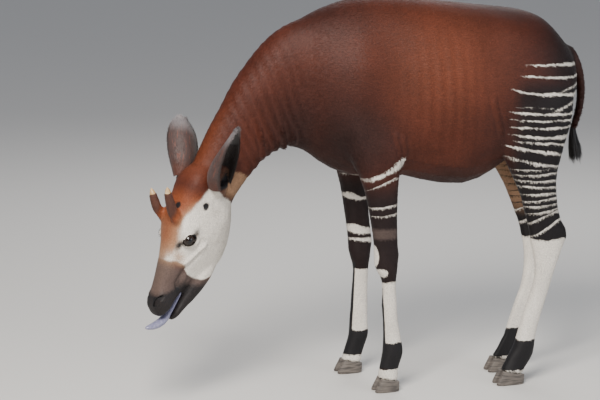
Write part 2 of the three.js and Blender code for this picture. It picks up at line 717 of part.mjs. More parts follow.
let tasselBody = solid(bodyOf(
  TASSEL_CORE.map(([x, y, z, r]) => ({ middle: at(x, y, z), w: r, u: r, d: r })),
  5, 10, () => Y.clone(), (t, tangent, side) => side.clone().cross(tangent).normalize(),
));
for (let i = 0; i < TASSEL_LOCKS; i++) tasselBody = tasselBody.add(lockOf(i));

// Where the parts meet
const headPlane = { point: headPoint(-6, 0, 0), normal: toNose.clone().addScaledVector(toBrow, 0.42).normalize() };
const neckPlane = { point: at(-62, 0, 1180), normal: at(-0.93, 0, -0.36).normalize() };
const tailPlane = { point: at(1072, 0, 1236), normal: at(0.9, 0, 0.35).normalize() };
const tasselPlane = { point: at(1091, -9, 946), normal: Z.clone() };
const HIND_SLOPE = at(0.4, 0, -1).normalize();
const hindPlane = { point: at(740, 0, 826), normal: HIND_SLOPE };
const forePlane = { point: at(250, 0, 838), normal: Z.clone().negate() };
const LEG_INNER = 65; // the cut along the inner side of a foreleg

const side = (plane, gap = PART_GAP / 2) => beyond(plane.point, plane.normal, gap);
const otherSide = (plane, gap = PART_GAP / 2) => beyond(plane.point, plane.normal.clone().negate(), gap);
const frontBlock = (gap) => blockBetween(at(-2000, -600, 300), at(60 + gap, 600, 2400));
const headBlock = (gap) => blockBetween(at(-2000, -600, 100), at(-150 + gap, 600, 1400));

// The space a leg takes below its cut: a wide lower block and a close upper one
function legSpace(hand, inner, plane, low, high, split, gap) {
  const [near, far] = [hand * (inner - gap), hand * 400];
  const [y0, y1] = [Math.min(near, far), Math.max(near, far)];
  const space = blockBetween(at(low[0] - gap, y0, -50), at(low[1] + gap, y1, split))
    .add(blockBetween(at(high[0] - gap, y0, split - 1), at(high[1] + gap, y1, 1100)));
  return space.intersect(side(plane, PART_GAP / 2 - gap));
}
const legSpaces = (gap) => ({
  foreleg_left: legSpace(-1, LEG_INNER, forePlane, [90, 430], [150, 345], 780, gap),
  foreleg_right: legSpace(1, LEG_INNER, forePlane, [90, 430], [150, 340], 780, gap),
  hind_leg_left: legSpace(-1, PART_GAP / 2, hindPlane, [690, 1200], [768, 1200], 760, gap),
  hind_leg_right: legSpace(1, PART_GAP / 2, hindPlane, [690, 1200], [768, 1200], 760, gap),
});

// Ossicones and tail grow out of the flesh up to a plane, ears are rooted in it
const ossiconeFoot = (hand) => {
  const [, second, third] = ossiconeLine(hand);
  return { point: second.clone().lerp(third, 0.62), normal: third.clone().sub(second).normalize() };
};
const rumpBlock = blockBetween(at(900, -200, 1150), at(1250, 200, 1400));
const tailRoot = (gap) => otherSide(tailPlane, gap).intersect(rumpBlock);
flesh = flesh.add(tailOf(0).intersect(tailRoot(0))).subtract(tailOf(PART_GAP).subtract(tailRoot(PART_GAP / 2)));
for (const [earSide, hand] of [["left", 1], ["right", -1]]) {
  flesh = flesh.add(ossiconeOf(hand, 0)).add(earFoot(EARS[earSide]))
    .subtract(ossiconeOf(hand, PART_GAP).intersect(side(ossiconeFoot(hand), -PART_GAP / 2)))
    .subtract(earOf(EARS[earSide], EAR_GAP));
}

const front = flesh.intersect(frontBlock(0)).intersect(side(neckPlane));
put("head", "pale_hair", front.intersect(headBlock(0)).intersect(side(headPlane)));
put("neck", "coat", front.subtract(headBlock(0).intersect(side(headPlane, -PART_GAP / 2))));
let trunk = flesh.subtract(frontBlock(0).intersect(side(neckPlane, -PART_GAP / 2)));
for (const [name, space] of Object.entries(legSpaces(0))) {
  const coronet = coronetPlane(FEET[name.replace("foreleg", "front").replace("_leg", "")]);
  put(name, "coat", trunk.intersect(space).intersect(side(coronet)));
}
put("torso", "coat", Object.values(legSpaces(PART_GAP)).reduce((body, space) => body.subtract(space), trunk));
for (const [foot, place] of Object.entries(FEET)) {
  const outward = Math.sign(place[2]);
  for (const [claw, hand] of [["outer", outward], ["inner", -outward]]) {
    put(`hoof_${foot}_${claw}`, "hoof", clawOf(place, hand).intersect(otherSide(coronetPlane(place))));
  }
}
for (const [name, hand] of [["left", 1], ["right", -1]]) {
  put(`eye_${name}`, "eye", ballAt(eyeMiddle(hand), EYE_RADIUS));
  const line = ossiconeLine(hand);
  const [before, end] = line.slice(-2);
  const normal = end.clone().sub(before).normalize();
  const tip = { point: end.clone().addScaledVector(normal, 12 - OSSICONE_TIP_LENGTH), normal };
  const cone = ossiconeOf(hand, 0).intersect(side(ossiconeFoot(hand)));
  put(`ossicone_${name}`, "coat", cone.intersect(otherSide(tip)));
  put(`ossicone_tip_${name}`, "horn", cone.intersect(side(tip)));
  put(`ear_${name}`, "ear_skin", earOf(EARS[name], 0));
}
put("tongue", "tongue", tongueBody);
put("tail", "coat", tailOf(0).subtract(tailRoot(-PART_GAP / 2)).intersect(side(tasselPlane)));
put("tail_tassel", "black_hair", tasselBody.intersect(otherSide(tasselPlane)));

// The origin is the middle of the base
const box = new THREE.Box3().setFromObject(group);
const middle = box.getCenter(at(0, 0, 0));
for (const mesh of group.children) mesh.geometry.translate(-middle.x, -middle.y, -box.min.z);

export default group;
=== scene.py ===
# Okapi bull in its short velvety coat, feeding with lowered head, shown as a still studio model.
import math

import bmesh
import bpy
import numpy as np
from mathutils import Matrix, Vector


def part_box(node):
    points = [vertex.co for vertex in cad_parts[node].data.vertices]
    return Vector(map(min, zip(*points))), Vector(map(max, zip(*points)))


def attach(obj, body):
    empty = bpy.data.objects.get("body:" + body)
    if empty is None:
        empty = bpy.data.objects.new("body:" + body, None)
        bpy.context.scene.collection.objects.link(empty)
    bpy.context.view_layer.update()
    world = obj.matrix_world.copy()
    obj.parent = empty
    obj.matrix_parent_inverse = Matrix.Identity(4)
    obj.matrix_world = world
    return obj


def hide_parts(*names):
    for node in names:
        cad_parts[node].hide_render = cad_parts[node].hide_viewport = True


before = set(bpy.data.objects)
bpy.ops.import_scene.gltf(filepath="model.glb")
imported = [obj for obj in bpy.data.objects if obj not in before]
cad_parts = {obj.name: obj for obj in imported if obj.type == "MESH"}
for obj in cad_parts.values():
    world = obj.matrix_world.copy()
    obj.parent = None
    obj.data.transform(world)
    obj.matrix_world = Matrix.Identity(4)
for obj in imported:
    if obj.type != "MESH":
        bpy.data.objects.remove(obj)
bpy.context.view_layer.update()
rng = np.random.default_rng(1901)

# Skin
# One hide over trunk, neck, head, legs, tail and ossicones, as grown: no seam anywhere.
# It lies a coat's depth inside the measured outline, and opens round the eyes.
VOXEL = 0.0058
COAT_DEPTH = 0.0025
FLESH = ["torso", "neck", "head", "foreleg_left", "foreleg_right", "hind_leg_left", "hind_leg_right",
         "tail", "ossicone_left", "ossicone_right"]
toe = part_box("hoof_front_left_outer")[0]
trunk_low, trunk_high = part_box("torso")
# Places below are given from the breast line: the left fore toe stands 237 mm behind it
SHIFT = np.array([toe[0] - 0.237, (trunk_low[1] + trunk_high[1]) / 2, 0.0])


def closed_copy(name, nodes, outwards):
    """The nodes' meshes in one object, each a little swollen so that neighbours meet."""
    bm = bmesh.new()
    for node in nodes:
        bm.from_mesh(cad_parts[node].data)
    bmesh.ops.remove_doubles(bm, verts=bm.verts, dist=1e-5)
    bm.normal_update()
    for v in bm.verts:
        v.co += v.normal * outwards
    mesh = bpy.data.meshes.new(name)
    bm.to_mesh(mesh)
    bm.free()
    obj = bpy.data.objects.new(name, mesh)
    bpy.context.scene.collection.objects.link(obj)
    return obj


def applied(obj):
    """obj's mesh with its modifiers, in place of the one it had."""
    graph = bpy.context.evaluated_depsgraph_get()
    mesh = bpy.data.meshes.new_from_object(obj.evaluated_get(graph))
    obj.modifiers.clear()
    obj.data = mesh


def points_of(mesh):
    co = np.empty(len(mesh.vertices) * 3)
    mesh.vertices.foreach_get("co", co)
    return co.reshape(-1, 3)


def normals_of(mesh):
    no = np.empty(len(mesh.vertices) * 3, np.float32)
    mesh.vertices.foreach_get("normal", no)
    return no.reshape(-1, 3).astype(float)


def edges_of(mesh):
    e = np.empty(len(mesh.edges) * 2, np.int32)
    mesh.edges.foreach_get("vertices", e)
    return e.reshape(-1, 2)


def set_points(mesh, co):
    mesh.vertices.foreach_set("co", co.astype(np.float32).ravel())
    mesh.update()


def smooth_shaded(mesh):
    for poly in mesh.polygons:
        poly.use_smooth = True


def smoothed(mesh, rounds, weight, back=-0.615):
    """Evens out facets: steps in and, where back is negative, out again, scaled by each vertex's weight."""
    co = points_of(mesh)
    a, b = edges_of(mesh).T
    count = np.bincount(a, minlength=len(co)) + np.bincount(b, minlength=len(co))
    for i in range(rounds):
        step = 0.6 if i % 2 == 0 else back
        near = np.stack([np.bincount(a, co[b, k], len(co)) + np.bincount(b, co[a, k], len(co))
                         for k in range(3)], 1)
        co += step * weight[:, None] * (near / count[:, None] - co)
    set_points(mesh, co)


# Directions of the lowered head: n towards the nose, d towards the brow, l towards its left, in mm
HEAD_TURN = math.radians(19)
HEAD_DROP = math.radians(65.6)
HEAD_ORIGIN = np.array([-0.439, -0.085, 0.8495])
UPWARDS = np.array([0, 0, 1.0])
facing = np.array([-math.cos(HEAD_TURN), -math.sin(HEAD_TURN), 0.0])
to_nose = math.cos(HEAD_DROP) * facing - math.sin(HEAD_DROP) * UPWARDS
to_brow = math.sin(HEAD_DROP) * facing + math.cos(HEAD_DROP) * UPWARDS
to_left = np.array([-facing[1], facing[0], 0.0])
HEAD_AXES = np.stack([to_nose, to_brow, to_left])


def in_head(p):
    """Points of the body's frame as n, d, l in mm."""
    return (p - HEAD_ORIGIN) @ HEAD_AXES.T * 1000


def from_head(n, d, l):
    return HEAD_ORIGIN + np.array([n, d, l]) / 1000 @ HEAD_AXES


def ease(x, low, high):
    t = np.clip((x - low) / (high - low), 0, 1)
    return t * t * (3 - 2 * t)


def blob(p, at, reach):
    """1 at the place, falling off with distance. reach is one number or one for each axis."""
    return np.exp(-0.5 * (((p - np.array(at)) / np.array(reach)) ** 2).sum(1))


def on_horns(p, h, low, high):
    """1 on the ossicones, coming in between two heights over the middle of the head, in mm."""
    return ease(h[:, 1], low, high) * (h[:, 0] < 185) * (h[:, 0] > 50) * (p[:, 0] < -0.3)


def line_distance(p, line):
    """Distance of each point to a broken line, and how far along it (0 to 1) the nearest place is."""
    line = np.array(line, float)
    best = np.full(len(p), 1e9)
    along = np.zeros(len(p))
    steps = len(line) - 1
    for i in range(steps):
        ab = line[i + 1] - line[i]
        t = np.clip(((p - line[i]) @ ab) / (ab @ ab), 0, 1)
        d = np.linalg.norm(p - line[i] - t[:, None] * ab, axis=1)
        closer = d < best
        best[closer] = d[closer]
        along[closer] = (i + t[closer]) / steps
    return best, along


skin = closed_copy("okapi_skin", FLESH, 0.0004)
remesh = skin.modifiers.new("even", "REMESH")
remesh.mode = "VOXEL"
remesh.voxel_size = VOXEL
applied(skin)
p = points_of(skin.data) - SHIFT
h = in_head(p)
on_head = ease(h[:, 0], -60, 0) * ease(-p[:, 0], 0.2, 0.3)
on_trunk = ease(p[:, 2], 0.86, 0.98) * (1 - on_head)
on_tail = ease(p[:, 0], 1.06, 1.09)
smoothed(skin.data, 16, 1 - 0.95 * on_horns(p, h, 62, 84))
smoothed(skin.data, 70, on_trunk * (1 - on_tail), 0.6)
smoothed(skin.data, 24, (1 - on_trunk) * (1 - on_head))

# Finer faces where the hide is striped or folded, and again at the eyes and nostrils
EYE = {"n": 219, "d": -12, "l": 69, "radius": 25}


def refine(mesh, chosen):
    bm = bmesh.new()
    bm.from_mesh(mesh)
    bm.verts.ensure_lookup_table()
    edges = [e for e in bm.edges if chosen[e.verts[0].index] and chosen[e.verts[1].index]]
    bmesh.ops.subdivide_edges(bm, edges=edges, cuts=1, use_grid_fill=True, smooth=0.6)
    bm.to_mesh(mesh)
    bm.free()


p = points_of(skin.data) - SHIFT
h = in_head(p)
striped = (p[:, 0] > 0.7) & (p[:, 2] > 0.53) & (p[:, 2] < 1.25) & (np.abs(p[:, 1]) > 0.02)
striped |= (p[:, 0] > 0.12) & (p[:, 0] < 0.4) & (p[:, 2] > 0.4) & (p[:, 2] < 0.9)
folded = (p[:, 0] < -0.02) & (p[:, 0] > -0.32) & (p[:, 2] < 1.12) & (h[:, 0] < -10)
refine(skin.data, striped | folded | ((h[:, 0] > -40) & (p[:, 0] < -0.2)))
p = points_of(skin.data) - SHIFT
h = in_head(p)
close = np.zeros(len(p), bool)
for hand in (-1, 1):
    close |= ((h - [EYE["n"], EYE["d"], hand * 80]) ** 2).sum(1) < 42 ** 2
    close |= ((h - [468, -4, hand * 34]) ** 2).sum(1) < 30 ** 2
refine(skin.data, close)

# Forms of the flesh under the hide: height in mm at a place of the body, with its reach
FORMS = [
    (9, (0.16, 0.19, 1.22), (0.05, 0.06, 0.14)),  # shoulder blade
    (6, (0.10, 0.2, 1.03), (0.05, 0.08, 0.05)),  # point of the shoulder
    (-6, (0.3, 0.2, 1.14), (0.045, 0.08, 0.15)),  # hollow behind the shoulder
    (8, (0.27, 0.19, 0.93), (0.05, 0.08, 0.05)),  # elbow
    (5, (0.55, 0.22, 1.08), (0.18, 0.1, 0.12)),  # ribs
    (-8, (0.68, 0.2, 1.24), (0.05, 0.08, 0.05)),  # hollow of the flank
    (7, (0.78, 0.17, 1.36), (0.05, 0.05, 0.04)),  # point of the hip
    (8, (0.86, 0.2, 1.1), (0.1, 0.1, 0.1)),  # thigh
    (-5, (0.98, 0.17, 1.02), (0.02, 0.07, 0.12)),  # groove behind the thigh
    (6, (0.76, 0.17, 0.87), (0.04, 0.07, 0.05)),  # stifle
]
p = points_of(skin.data) - SHIFT
no = normals_of(skin.data)
h = in_head(p)
lift = np.zeros(len(p))
for height, (x, y, z), reach in FORMS:
    for hand in (-1, 1):
        lift += height * blob(p, (x, hand * y, z), reach)
lift += 4.2 * on_horns(p, h, 66, 90)
# ribs, faint
RIB_HEIGHT, RIB_SPACING = 1.1, 0.043  # mm, m
rib_zone = blob(p * [1, 0, 1], (0.5, 0, 1.1), (0.12, 1, 0.13))
lift += RIB_HEIGHT * np.sin(p[:, 0] * 2 * math.pi / RIB_SPACING + p[:, 2] * 4) * rib_zone
# folds of loose skin where the neck bends, upright and finer towards the crest
FOLD_HEIGHT, FOLD_SPACING = 1.5, 0.034  # mm, m
fold_wave = np.sin((p[:, 0] * 0.93 + p[:, 2] * 0.36) * 2 * math.pi / FOLD_SPACING
                   + 2.2 * np.sin(p[:, 2] * 13) + 1.3 * np.sin(p[:, 1] * 21))
fold_zone = ease(-p[:, 0], 0.0, 0.1) * ease(p[:, 0], -0.42, -0.3) * ease(-h[:, 0], 20, 60)
lift += FOLD_HEIGHT * fold_wave * fold_zone * (0.3 + blob(p * [1, 0, 1], (-0.13, 0, 1.02), (0.09, 1, 0.12)))
# long folds that hang at the throat: height in mm, then the way down each side
THROAT_FOLDS = [
    (10, [(-0.213, 0.102, 1.06), (-0.2, 0.101, 1.0), (-0.182, 0.073, 0.92), (-0.178, 0.03, 0.9)]),
    (11, [(-0.134, 0.103, 1.085), (-0.114, 0.094, 1.01), (-0.09, 0.042, 0.945), (-0.088, 0.0, 0.935)]),
    (7, [(-0.075, 0.095, 1.03), (-0.066, 0.07, 0.97), (-0.06, 0.03, 0.945)]),
    (6, [(-0.168, 0.1, 1.03), (-0.152, 0.09, 0.98), (-0.138, 0.06, 0.925)]),
]
for hand in (-1, 1):
    for height, line in THROAT_FOLDS:
        d, along = line_distance(p, np.array(line) * [1, hand, 1])
        reach = 0.0055 + 0.003 * along
        lift += height * np.exp(-0.5 * (d / reach) ** 2) * ease(along, 0, 0.5) * ease(1 - along, 0, 0.12)
        lift -= 0.35 * height * np.exp(-0.5 * ((d - 0.015) / 0.005) ** 2) * ease(along, 0, 0.5)
# skin folds behind the elbow and at the flank, in the same way
BODY_FOLDS = [
    (6, [(0.285, 0.19, 1.01), (0.306, 0.18, 0.95), (0.32, 0.165, 0.9)]),
    (4.5, [(0.31, 0.19, 1.0), (0.335, 0.18, 0.93), (0.35, 0.16, 0.87)]),
    (6, [(0.655, 0.222, 1.12), (0.683, 0.214, 1.047), (0.715, 0.19, 0.955)]),
]
for hand in (-1, 1):
    for height, line in BODY_FOLDS:
        d, along = line_distance(p, np.array(line) * [1, hand, 1])
        lift += height * np.exp(-0.5 * (d / 0.007) ** 2) * ease(along, 0, 0.25) * ease(1 - along, 0, 0.25)
        groove = np.exp(-0.5 * ((d - 0.016) / 0.006) ** 2)
        lift -= 0.6 * height * groove * ease(along, 0, 0.3) * ease(1 - along, 0, 0.3)
# cheek ridge, crease before the mouth, veins and wrinkles of the face: height and half width in mm, the way
HEAD_LINES = [
    (8.0, 6, [(322, -26, 58), (281, -49, 69), (240, -66, 79), (202, -88, 84)]),
    (-6.5, 5, [(318, -44, 58), (281, -62, 69), (240, -80, 80)]),
    (-8.0, 7, [(313, -50, 61), (346, -46, 54), (379, -42, 49), (400, -60, 46)]),
    (4.0, 7, [(335, -70, 52), (365, -66, 47), (392, -80, 42)]),
    (-2.2, 3, [(312, 22, 20), (310, 2, 44), (307, -24, 59)]),
    (2.0, 4, [(300, 10, 45), (340, 2, 44), (390, -6, 44)]),
    (-4.0, 6, [(365, -106, 36), (352, -112, 46), (338, -118, 50)]),
    (3.0, 6, [(250, -24, 76), (232, -44, 84), (205, -44, 88)]),
    (-3.0, 5, [(245, -34, 76), (228, -54, 84), (196, -54, 88)]),
]
for height, reach, line in HEAD_LINES:
    for hand in (-1, 1):
        d, along = line_distance(h, np.array(line) * [1, 1, hand])
        lift += height * np.exp(-0.5 * (d / reach) ** 2) * ease(along, 0, 0.15) * ease(1 - along, 0, 0.15)
for hand in (-1, 1):
    lift += 4 * blob(h, (120, -110, hand * 78), (45, 45, 40))
    lift -= 5 * blob(h, (87, -27, hand * 84), (7, 9, 20))  # pit below the ear
    lift += 4 * blob(h, (66, -40, hand * 80), (16, 14, 20))
lift[:] = lift / 1000 - COAT_DEPTH * (1 - 0.5 * on_head.mean())
p = p + no * lift[:, None]

# Lids: the hide turns in round an almond opening and hugs the eyeball
LID_TILT = math.radians(32)
LID_LONG, LID_UPPER, LID_LOWER = 24.5, 16.5, 12.5  # mm: half the opening's length, its height above and below


def eye_frame(hand):
    """The way that an eye looks, and the ways along and up across it, in head directions."""
    look = np.array([0.2, 0.32, hand * 1.0])
    look /= np.linalg.norm(look)
    across = np.array([1.0, 0, 0]) - look * look[0]
    across /= np.linalg.norm(across)
    up = np.array([0, 1.0, 0]) - look * look[1]
    up -= across * (up @ across)
    up /= np.linalg.norm(up)
    return look, across, up


def turned(a, b, angle):
    """Two measures across each other, taken again from axes turned by the angle."""
    return math.cos(angle) * a + math.sin(angle) * b, -math.sin(angle) * a + math.cos(angle) * b


for hand in (-1, 1):
    centre = np.array([EYE["n"], EYE["d"], hand * EYE["l"]])
    look, across, up = eye_frame(hand)
    h = in_head(p)
    q = h - centre
    a, b = turned(q @ across, q @ up, LID_TILT)
    front = q @ look
    r = np.linalg.norm(q, axis=1)
    bow = 1 - np.clip(np.abs(a) / LID_LONG, 0, 1) ** 2
    inside = np.minimum(LID_UPPER * bow - b, b + LID_LOWER * bow)
    inside = np.where(np.abs(a) < LID_LONG, inside, -np.hypot(np.abs(a) - LID_LONG, b))
    near = (front > 2) & (r < 52)
    reach_out = ease(-inside, 15, 5)
    upper = ease(b, -2, 6)
    lid_edge = 3.2 * np.exp(-0.5 * ((inside + 3.2 + 1.5 * upper) / 2.6) ** 2)
    lid_crease = 1.6 * np.exp(-0.5 * ((inside + 9) / 2.2) ** 2)
    rim = EYE["radius"] + 1.6 + lid_edge - lid_crease
    target = np.where(inside > 0.4, EYE["radius"] - 5.0, rim)
    share = np.where(inside > -1, 1.0, reach_out)
    new_r = np.where(near, r + share * (target - r), r)
    p = HEAD_ORIGIN + (centre + q * (new_r / np.maximum(r, 1e-6))[:, None]) / 1000 @ HEAD_AXES

# Nostrils: a comma-shaped slit with a raised wing
NOSTRIL = [(442, -6, 44), (457, 4, 39), (472, 5, 30), (484, -2, 22)]
for hand in (-1, 1):
    h = in_head(p)
    d, along = line_distance(h, np.array(NOSTRIL) * [1, 1, hand])
    width = 3.4 + 3.4 * np.sin(np.clip(along, 0, 1) * math.pi)
    hollow = np.exp(-0.5 * (d / width) ** 2)
    wing = np.exp(-0.5 * ((d - 9) / 4.0) ** 2)
    inwards = np.array([-0.35, -0.1, -hand * 0.93])
    near = ease(h[:, 0], 418, 432)
    push = (14.0 * hollow)[:, None] * inwards + (2.2 * wing)[:, None] * -inwards
    p = p + near[:, None] * push / 1000 @ HEAD_AXES
set_points(skin.data, p + SHIFT)
smooth_shaded(skin.data)

# Markings, as fields over the hide: how many mm a point lies inside a marked area (negative outside)
p = points_of(skin.data) - SHIFT
h = in_head(p)
x, y, z = p.T
n, d, l = h.T
outer = np.abs(l)
both = np.stack([n, d, outer], 1)  # either half of the head as the left one
head_part = (n > -70) & (x < -0.2)
wobble = 2.2 * np.sin(x * 61 + y * 37) + 1.6 * np.sin(x * 143 + z * 21 + 1.0) + 1.2 * np.sin(z * 90 + y * 70)


def stripe(places, front_half, rear_half, side_field, shift=0.0):
    """A narrow pale band across the leg through (x, z) places, tapering out past its front end."""
    xs = np.array([q[0] for q in places]) + shift
    zs = np.array([q[1] for q in places])
    level = np.interp(x, xs, zs)
    share = np.clip((x - xs[0]) / (xs[-1] - xs[0]), 0, 1)
    half = front_half + (rear_half - front_half) * share
    half = half * (0.9 + 0.25 * np.sin(x * 47 + zs[0] * 91))
    sway = 2.6 * np.sin(x * 23 + zs[0] * 57) * share
    field = half - np.abs((z - level) * 1000 + 0.35 * wobble + sway)
    before = (xs[0] - x) * 1000 * 0.3
    field = field - np.maximum(before, 0) - 0.35 * front_half * (1 - ease(share, 0, 0.25))
    field = np.minimum(field, 12 * share - 0.25)  # the front end is thin-haired, so the ground shows through
    if side_field is not None:
        field = np.minimum(field, side_field)
    return field


HAUNCH = [
    ([(0.79, 1.229), (0.905, 1.224), (1.00, 1.214)], 1.2, 5.5),
    ([(0.78, 1.188), (0.904, 1.177), (1.03, 1.168)], 2.6, 4.5),
    ([(0.735, 1.143), (0.80, 1.124), (0.862, 1.115), (0.96, 1.108), (1.046, 1.103)], 3.5, 7.0),
    ([(0.93, 1.115), (1.05, 1.135)], 0.5, 5.0),
    ([(0.758, 1.073), (0.88, 1.063), (0.95, 1.061)], 0.8, 0.4),
    ([(0.732, 1.056), (0.82, 1.044), (0.901, 1.038), (1.03, 1.036)], 3.8, 4.6),
    ([(0.90, 1.043), (0.95, 1.057), (1.03, 1.083)], 1.8, 4.6),
    ([(0.737, 1.028), (0.838, 1.017), (0.99, 1.009)], 2.2, 2.6),
    ([(0.741, 0.998), (0.857, 0.989), (1.0, 0.983)], 2.6, 4.0),
    ([(0.737, 0.971), (0.839, 0.954), (0.99, 0.951)], 2.8, 7.0),
    ([(0.757, 0.944), (0.86, 0.931), (0.99, 0.92)], 2.2, 4.5),
    ([(0.722, 0.929), (0.822, 0.908), (0.975, 0.878)], 4.6, 4.6),
    ([(0.75, 0.881), (0.825, 0.861), (0.96, 0.834)], 4.4, 4.4),
    ([(0.765, 0.831), (0.867, 0.825), (0.9, 0.826)], 2.2, 0.6),
    ([(0.778, 0.808), (0.926, 0.808), (0.97, 0.808)], 2.6, 3.0),
    ([(0.786, 0.788), (0.928, 0.781), (0.97, 0.78)], 3.0, 3.0),
    ([(0.796, 0.765), (0.934, 0.757), (0.97, 0.756)], 3.0, 3.2),
    ([(0.81, 0.732), (0.94, 0.733), (0.97, 0.733)], 3.2, 3.2),
    ([(0.82, 0.704), (0.947, 0.712), (0.97, 0.713)], 3.0, 3.0),
    ([(0.822, 0.684), (0.954, 0.688), (0.97, 0.689)], 2.6, 2.6),
    ([(0.83, 0.656), (0.877, 0.661), (0.954, 0.672)], 2.6, 2.8),
    ([(0.84, 0.616), (0.878, 0.637), (0.954, 0.663)], 3.6, 3.0),
    ([(0.852, 0.566), (0.899, 0.594), (0.964, 0.627)], 4.6, 4.0),
]
left_side = (-0.012 - y) * 1000
right_side = (y + 0.012 - 0.02) * 1000
FAR_SHIFT = 0.022  # m by which the far leg's stripes lie further back
pale = np.full(len(p), -60.0)
hind = x > 0.6
on_haunch = hind & ~((x > 1.045) & (np.abs(y + 0.006) < 0.035)) & (x < 1.075)
for places, front_half, rear_half in HAUNCH:
    lean = 0.0 if np.mean([q[1] for q in places]) > 0.95 else FAR_SHIFT
    for side_field, shift in ((left_side, 0.0), (right_side, lean)):
        mark = stripe(places, front_half, rear_half, side_field, shift)
        pale = np.maximum(pale, np.where(on_haunch, mark, -60))

# White shanks below hock and knee, black pasterns, a pale band over each hoof
FEET = {  # side in y, then the heights at which the white, the black pastern and the pale band begin
    "hind_left": (-1, 0.556, 0.168, 0.058),
    "hind_right": (1, 0.53, 0.165, 0.058),
    "fore_left": (-1, 0.425, 0.186, 0.088),
    "fore_right": (1, 0.416, 0.168, 0.074),
}
middle_line = np.where(hind, -0.08 * ease(z, 0.9, 0.2), 0.02)


def of_leg(name, hand):
    """The points of one leg."""
    pair = hind if name.startswith("hind") else ~hind & (z < 0.95) & (x > 0.05)
    return ((y - middle_line) * hand > 0) & pair


for name, (hand, white, fetlock, band) in FEET.items():
    mine = of_leg(name, hand)
    edge = wobble * 1.2
    shank = np.minimum((white - z) * 1000 + edge, (z - fetlock) * 1000 + edge)
    cuff = np.minimum((band - z) * 1000 + 0.7 * edge, (z - 0.036) * 1000 + 20)
    pale = np.where(mine, np.maximum(pale, np.maximum(shank, cuff)), pale)

# Forelegs: a broad slanting band, fine lines, pale patches at the knee
fore = (x > 0.05) & (x < 0.45) & (z < 0.95)
left_fore = fore & (y < 0.02)
FORE_LEFT = [
    ([(0.2, 0.822), (0.226, 0.834), (0.293, 0.867), (0.33, 0.883)], 12.0, 14.5),
    ([(0.193, 0.778), (0.235, 0.8), (0.299, 0.826)], 2.2, 2.4),
    ([(0.205, 0.712), (0.251, 0.715), (0.32, 0.722)], 2.8, 2.8),
    ([(0.215, 0.681), (0.253, 0.68), (0.32, 0.691)], 2.2, 2.4),
]
FORE_RIGHT = [
    ([(0.2, 0.716), (0.23, 0.712), (0.27, 0.7)], 16.0, 5.0),
    ([(0.19, 0.80), (0.235, 0.812), (0.3, 0.83)], 5.0, 6.0),
    ([(0.22, 0.585), (0.26, 0.578), (0.32, 0.565)], 15.0, 19.0),
    ([(0.23, 0.54), (0.27, 0.536), (0.32, 0.53)], 7.0, 9.0),
]
for rows, mine in ((FORE_LEFT, left_fore), (FORE_RIGHT, fore & (y > 0.02))):
    for places, front_half, rear_half in rows:
        arm_rear = (np.interp(z, [0.5, 0.72, 0.82, 0.9], [0.33, 0.33, 0.335, 0.345]) - x) * 1000
        pale = np.where(mine, np.maximum(pale, stripe(places, front_half, rear_half, arm_rear)), pale)
knee = (p - [0.236, -0.12, 0.525]) / [0.02, 0.028, 0.042]
pale = np.where(left_fore, np.maximum(pale, (1 - np.linalg.norm(knee, axis=1)) * 20), pale)
knee = (p - [0.262, -0.12, 0.462]) / [0.022, 0.06, 0.018]
pale = np.where(left_fore, np.maximum(pale, (1 - np.linalg.norm(knee, axis=1)) * 14), pale)
# flank fold edged with a thin pale line
FLANK_EDGE = [(0.655, 0.222, 1.12), (0.683, 0.214, 1.047), (0.712, 0.19, 0.96)]
for hand in (-1, 1):
    gap, along = line_distance(p, np.array(FLANK_EDGE) * [1, hand, 1])
    pale = np.maximum(pale, 3.2 * np.minimum(1, 3 * np.minimum(along, 1 - along) + 0.2) - gap * 1000)

# Face: white cheeks and jaw between the chestnut brow and the dark muzzle
brow_edge = np.interp(n, [-60, -4, 18, 54, 92, 127, 168, 200, 235, 262, 312],
                      [-80, -44, -22, -3, 8, 22, 37, 34, 26, 26, 24])
muzzle_edge = np.interp(d, [-215, -170, -140, -110, -70, -52, -45, -24, 10, 30],
                        [300, 318, 338, 342, 336, 322, 312, 309, 314, 312])
back_edge = np.interp(d, [-200, -156, -33, 0], [48, 40, 20, 8])
BROW_SOFT, MUZZLE_SOFT, THROAT_SOFT = 7.0, 4.0, 5.0  # mm over which the white fades at each edge
muzzle_soft = np.where(d > -45, MUZZLE_SOFT * 1.5, MUZZLE_SOFT)
face = np.minimum((brow_edge - d) / BROW_SOFT, (muzzle_edge - n) / muzzle_soft)
face = np.minimum(face, (n - back_edge) / THROAT_SOFT)
face = np.minimum(face + 0.12 * wobble, 1.2)
# less white before and under the eye and beside the muzzle; under the ear the white gives way to painted
# shade
for amount, at, reach in ((1.5, (292, -8, 62), (20, 20, 30)), (1.3, (250, 18, 60), (24, 12, 30)),
                          (0.9, (96, -72, 82), (22, 20, 30)), (1.0, (196, -28, 84), (16, 10, 24))):
    face = face - amount * blob(both, at, reach)
pale = np.where(head_part, np.maximum(face, -60), pale)

# Black: muzzle, lips, lids, the patch before the eye, fetlocks, hocks and the front of the shanks; painted
# shade in the pit under the ear, the notch behind the ossicone, the crease before the mouth and inside the
# ear cups
black = np.full(len(p), -60.0)
lips = np.interp(d, [-200, -150, -100, -60, -20, 10, 40], [356, 352, 372, 378, 424, 446, 446])
# the muzzle's grey is partly its own velvet and partly the wet nose's painted sheen
muzzle = np.minimum((n - lips) * 0.06 + 0.08 * wobble, 0.7)  # a dark grey velvet, not quite black
# painted shade along the crease before the mouth, widening along it
mouth_crease_shade, along = line_distance(both, [(315, -47, 60), (350, -45, 53), (385, -46, 49), (405, -62, 46)])
muzzle = np.maximum(muzzle, (3 + 10 * along - mouth_crease_shade) * 0.25)
nostril, along = line_distance(both * [1, 1, 0], np.array(NOSTRIL) * [1, 1, 0])
muzzle = np.maximum(muzzle, np.where(outer > 12, (6.5 - nostril) * 0.4, -60))
slit = np.abs(d - np.interp(n, [365, 420, 480], [-109, -97, -75])) - 9
muzzle = np.maximum(muzzle, np.minimum((n - 366) * 0.1, -slit * 0.1))
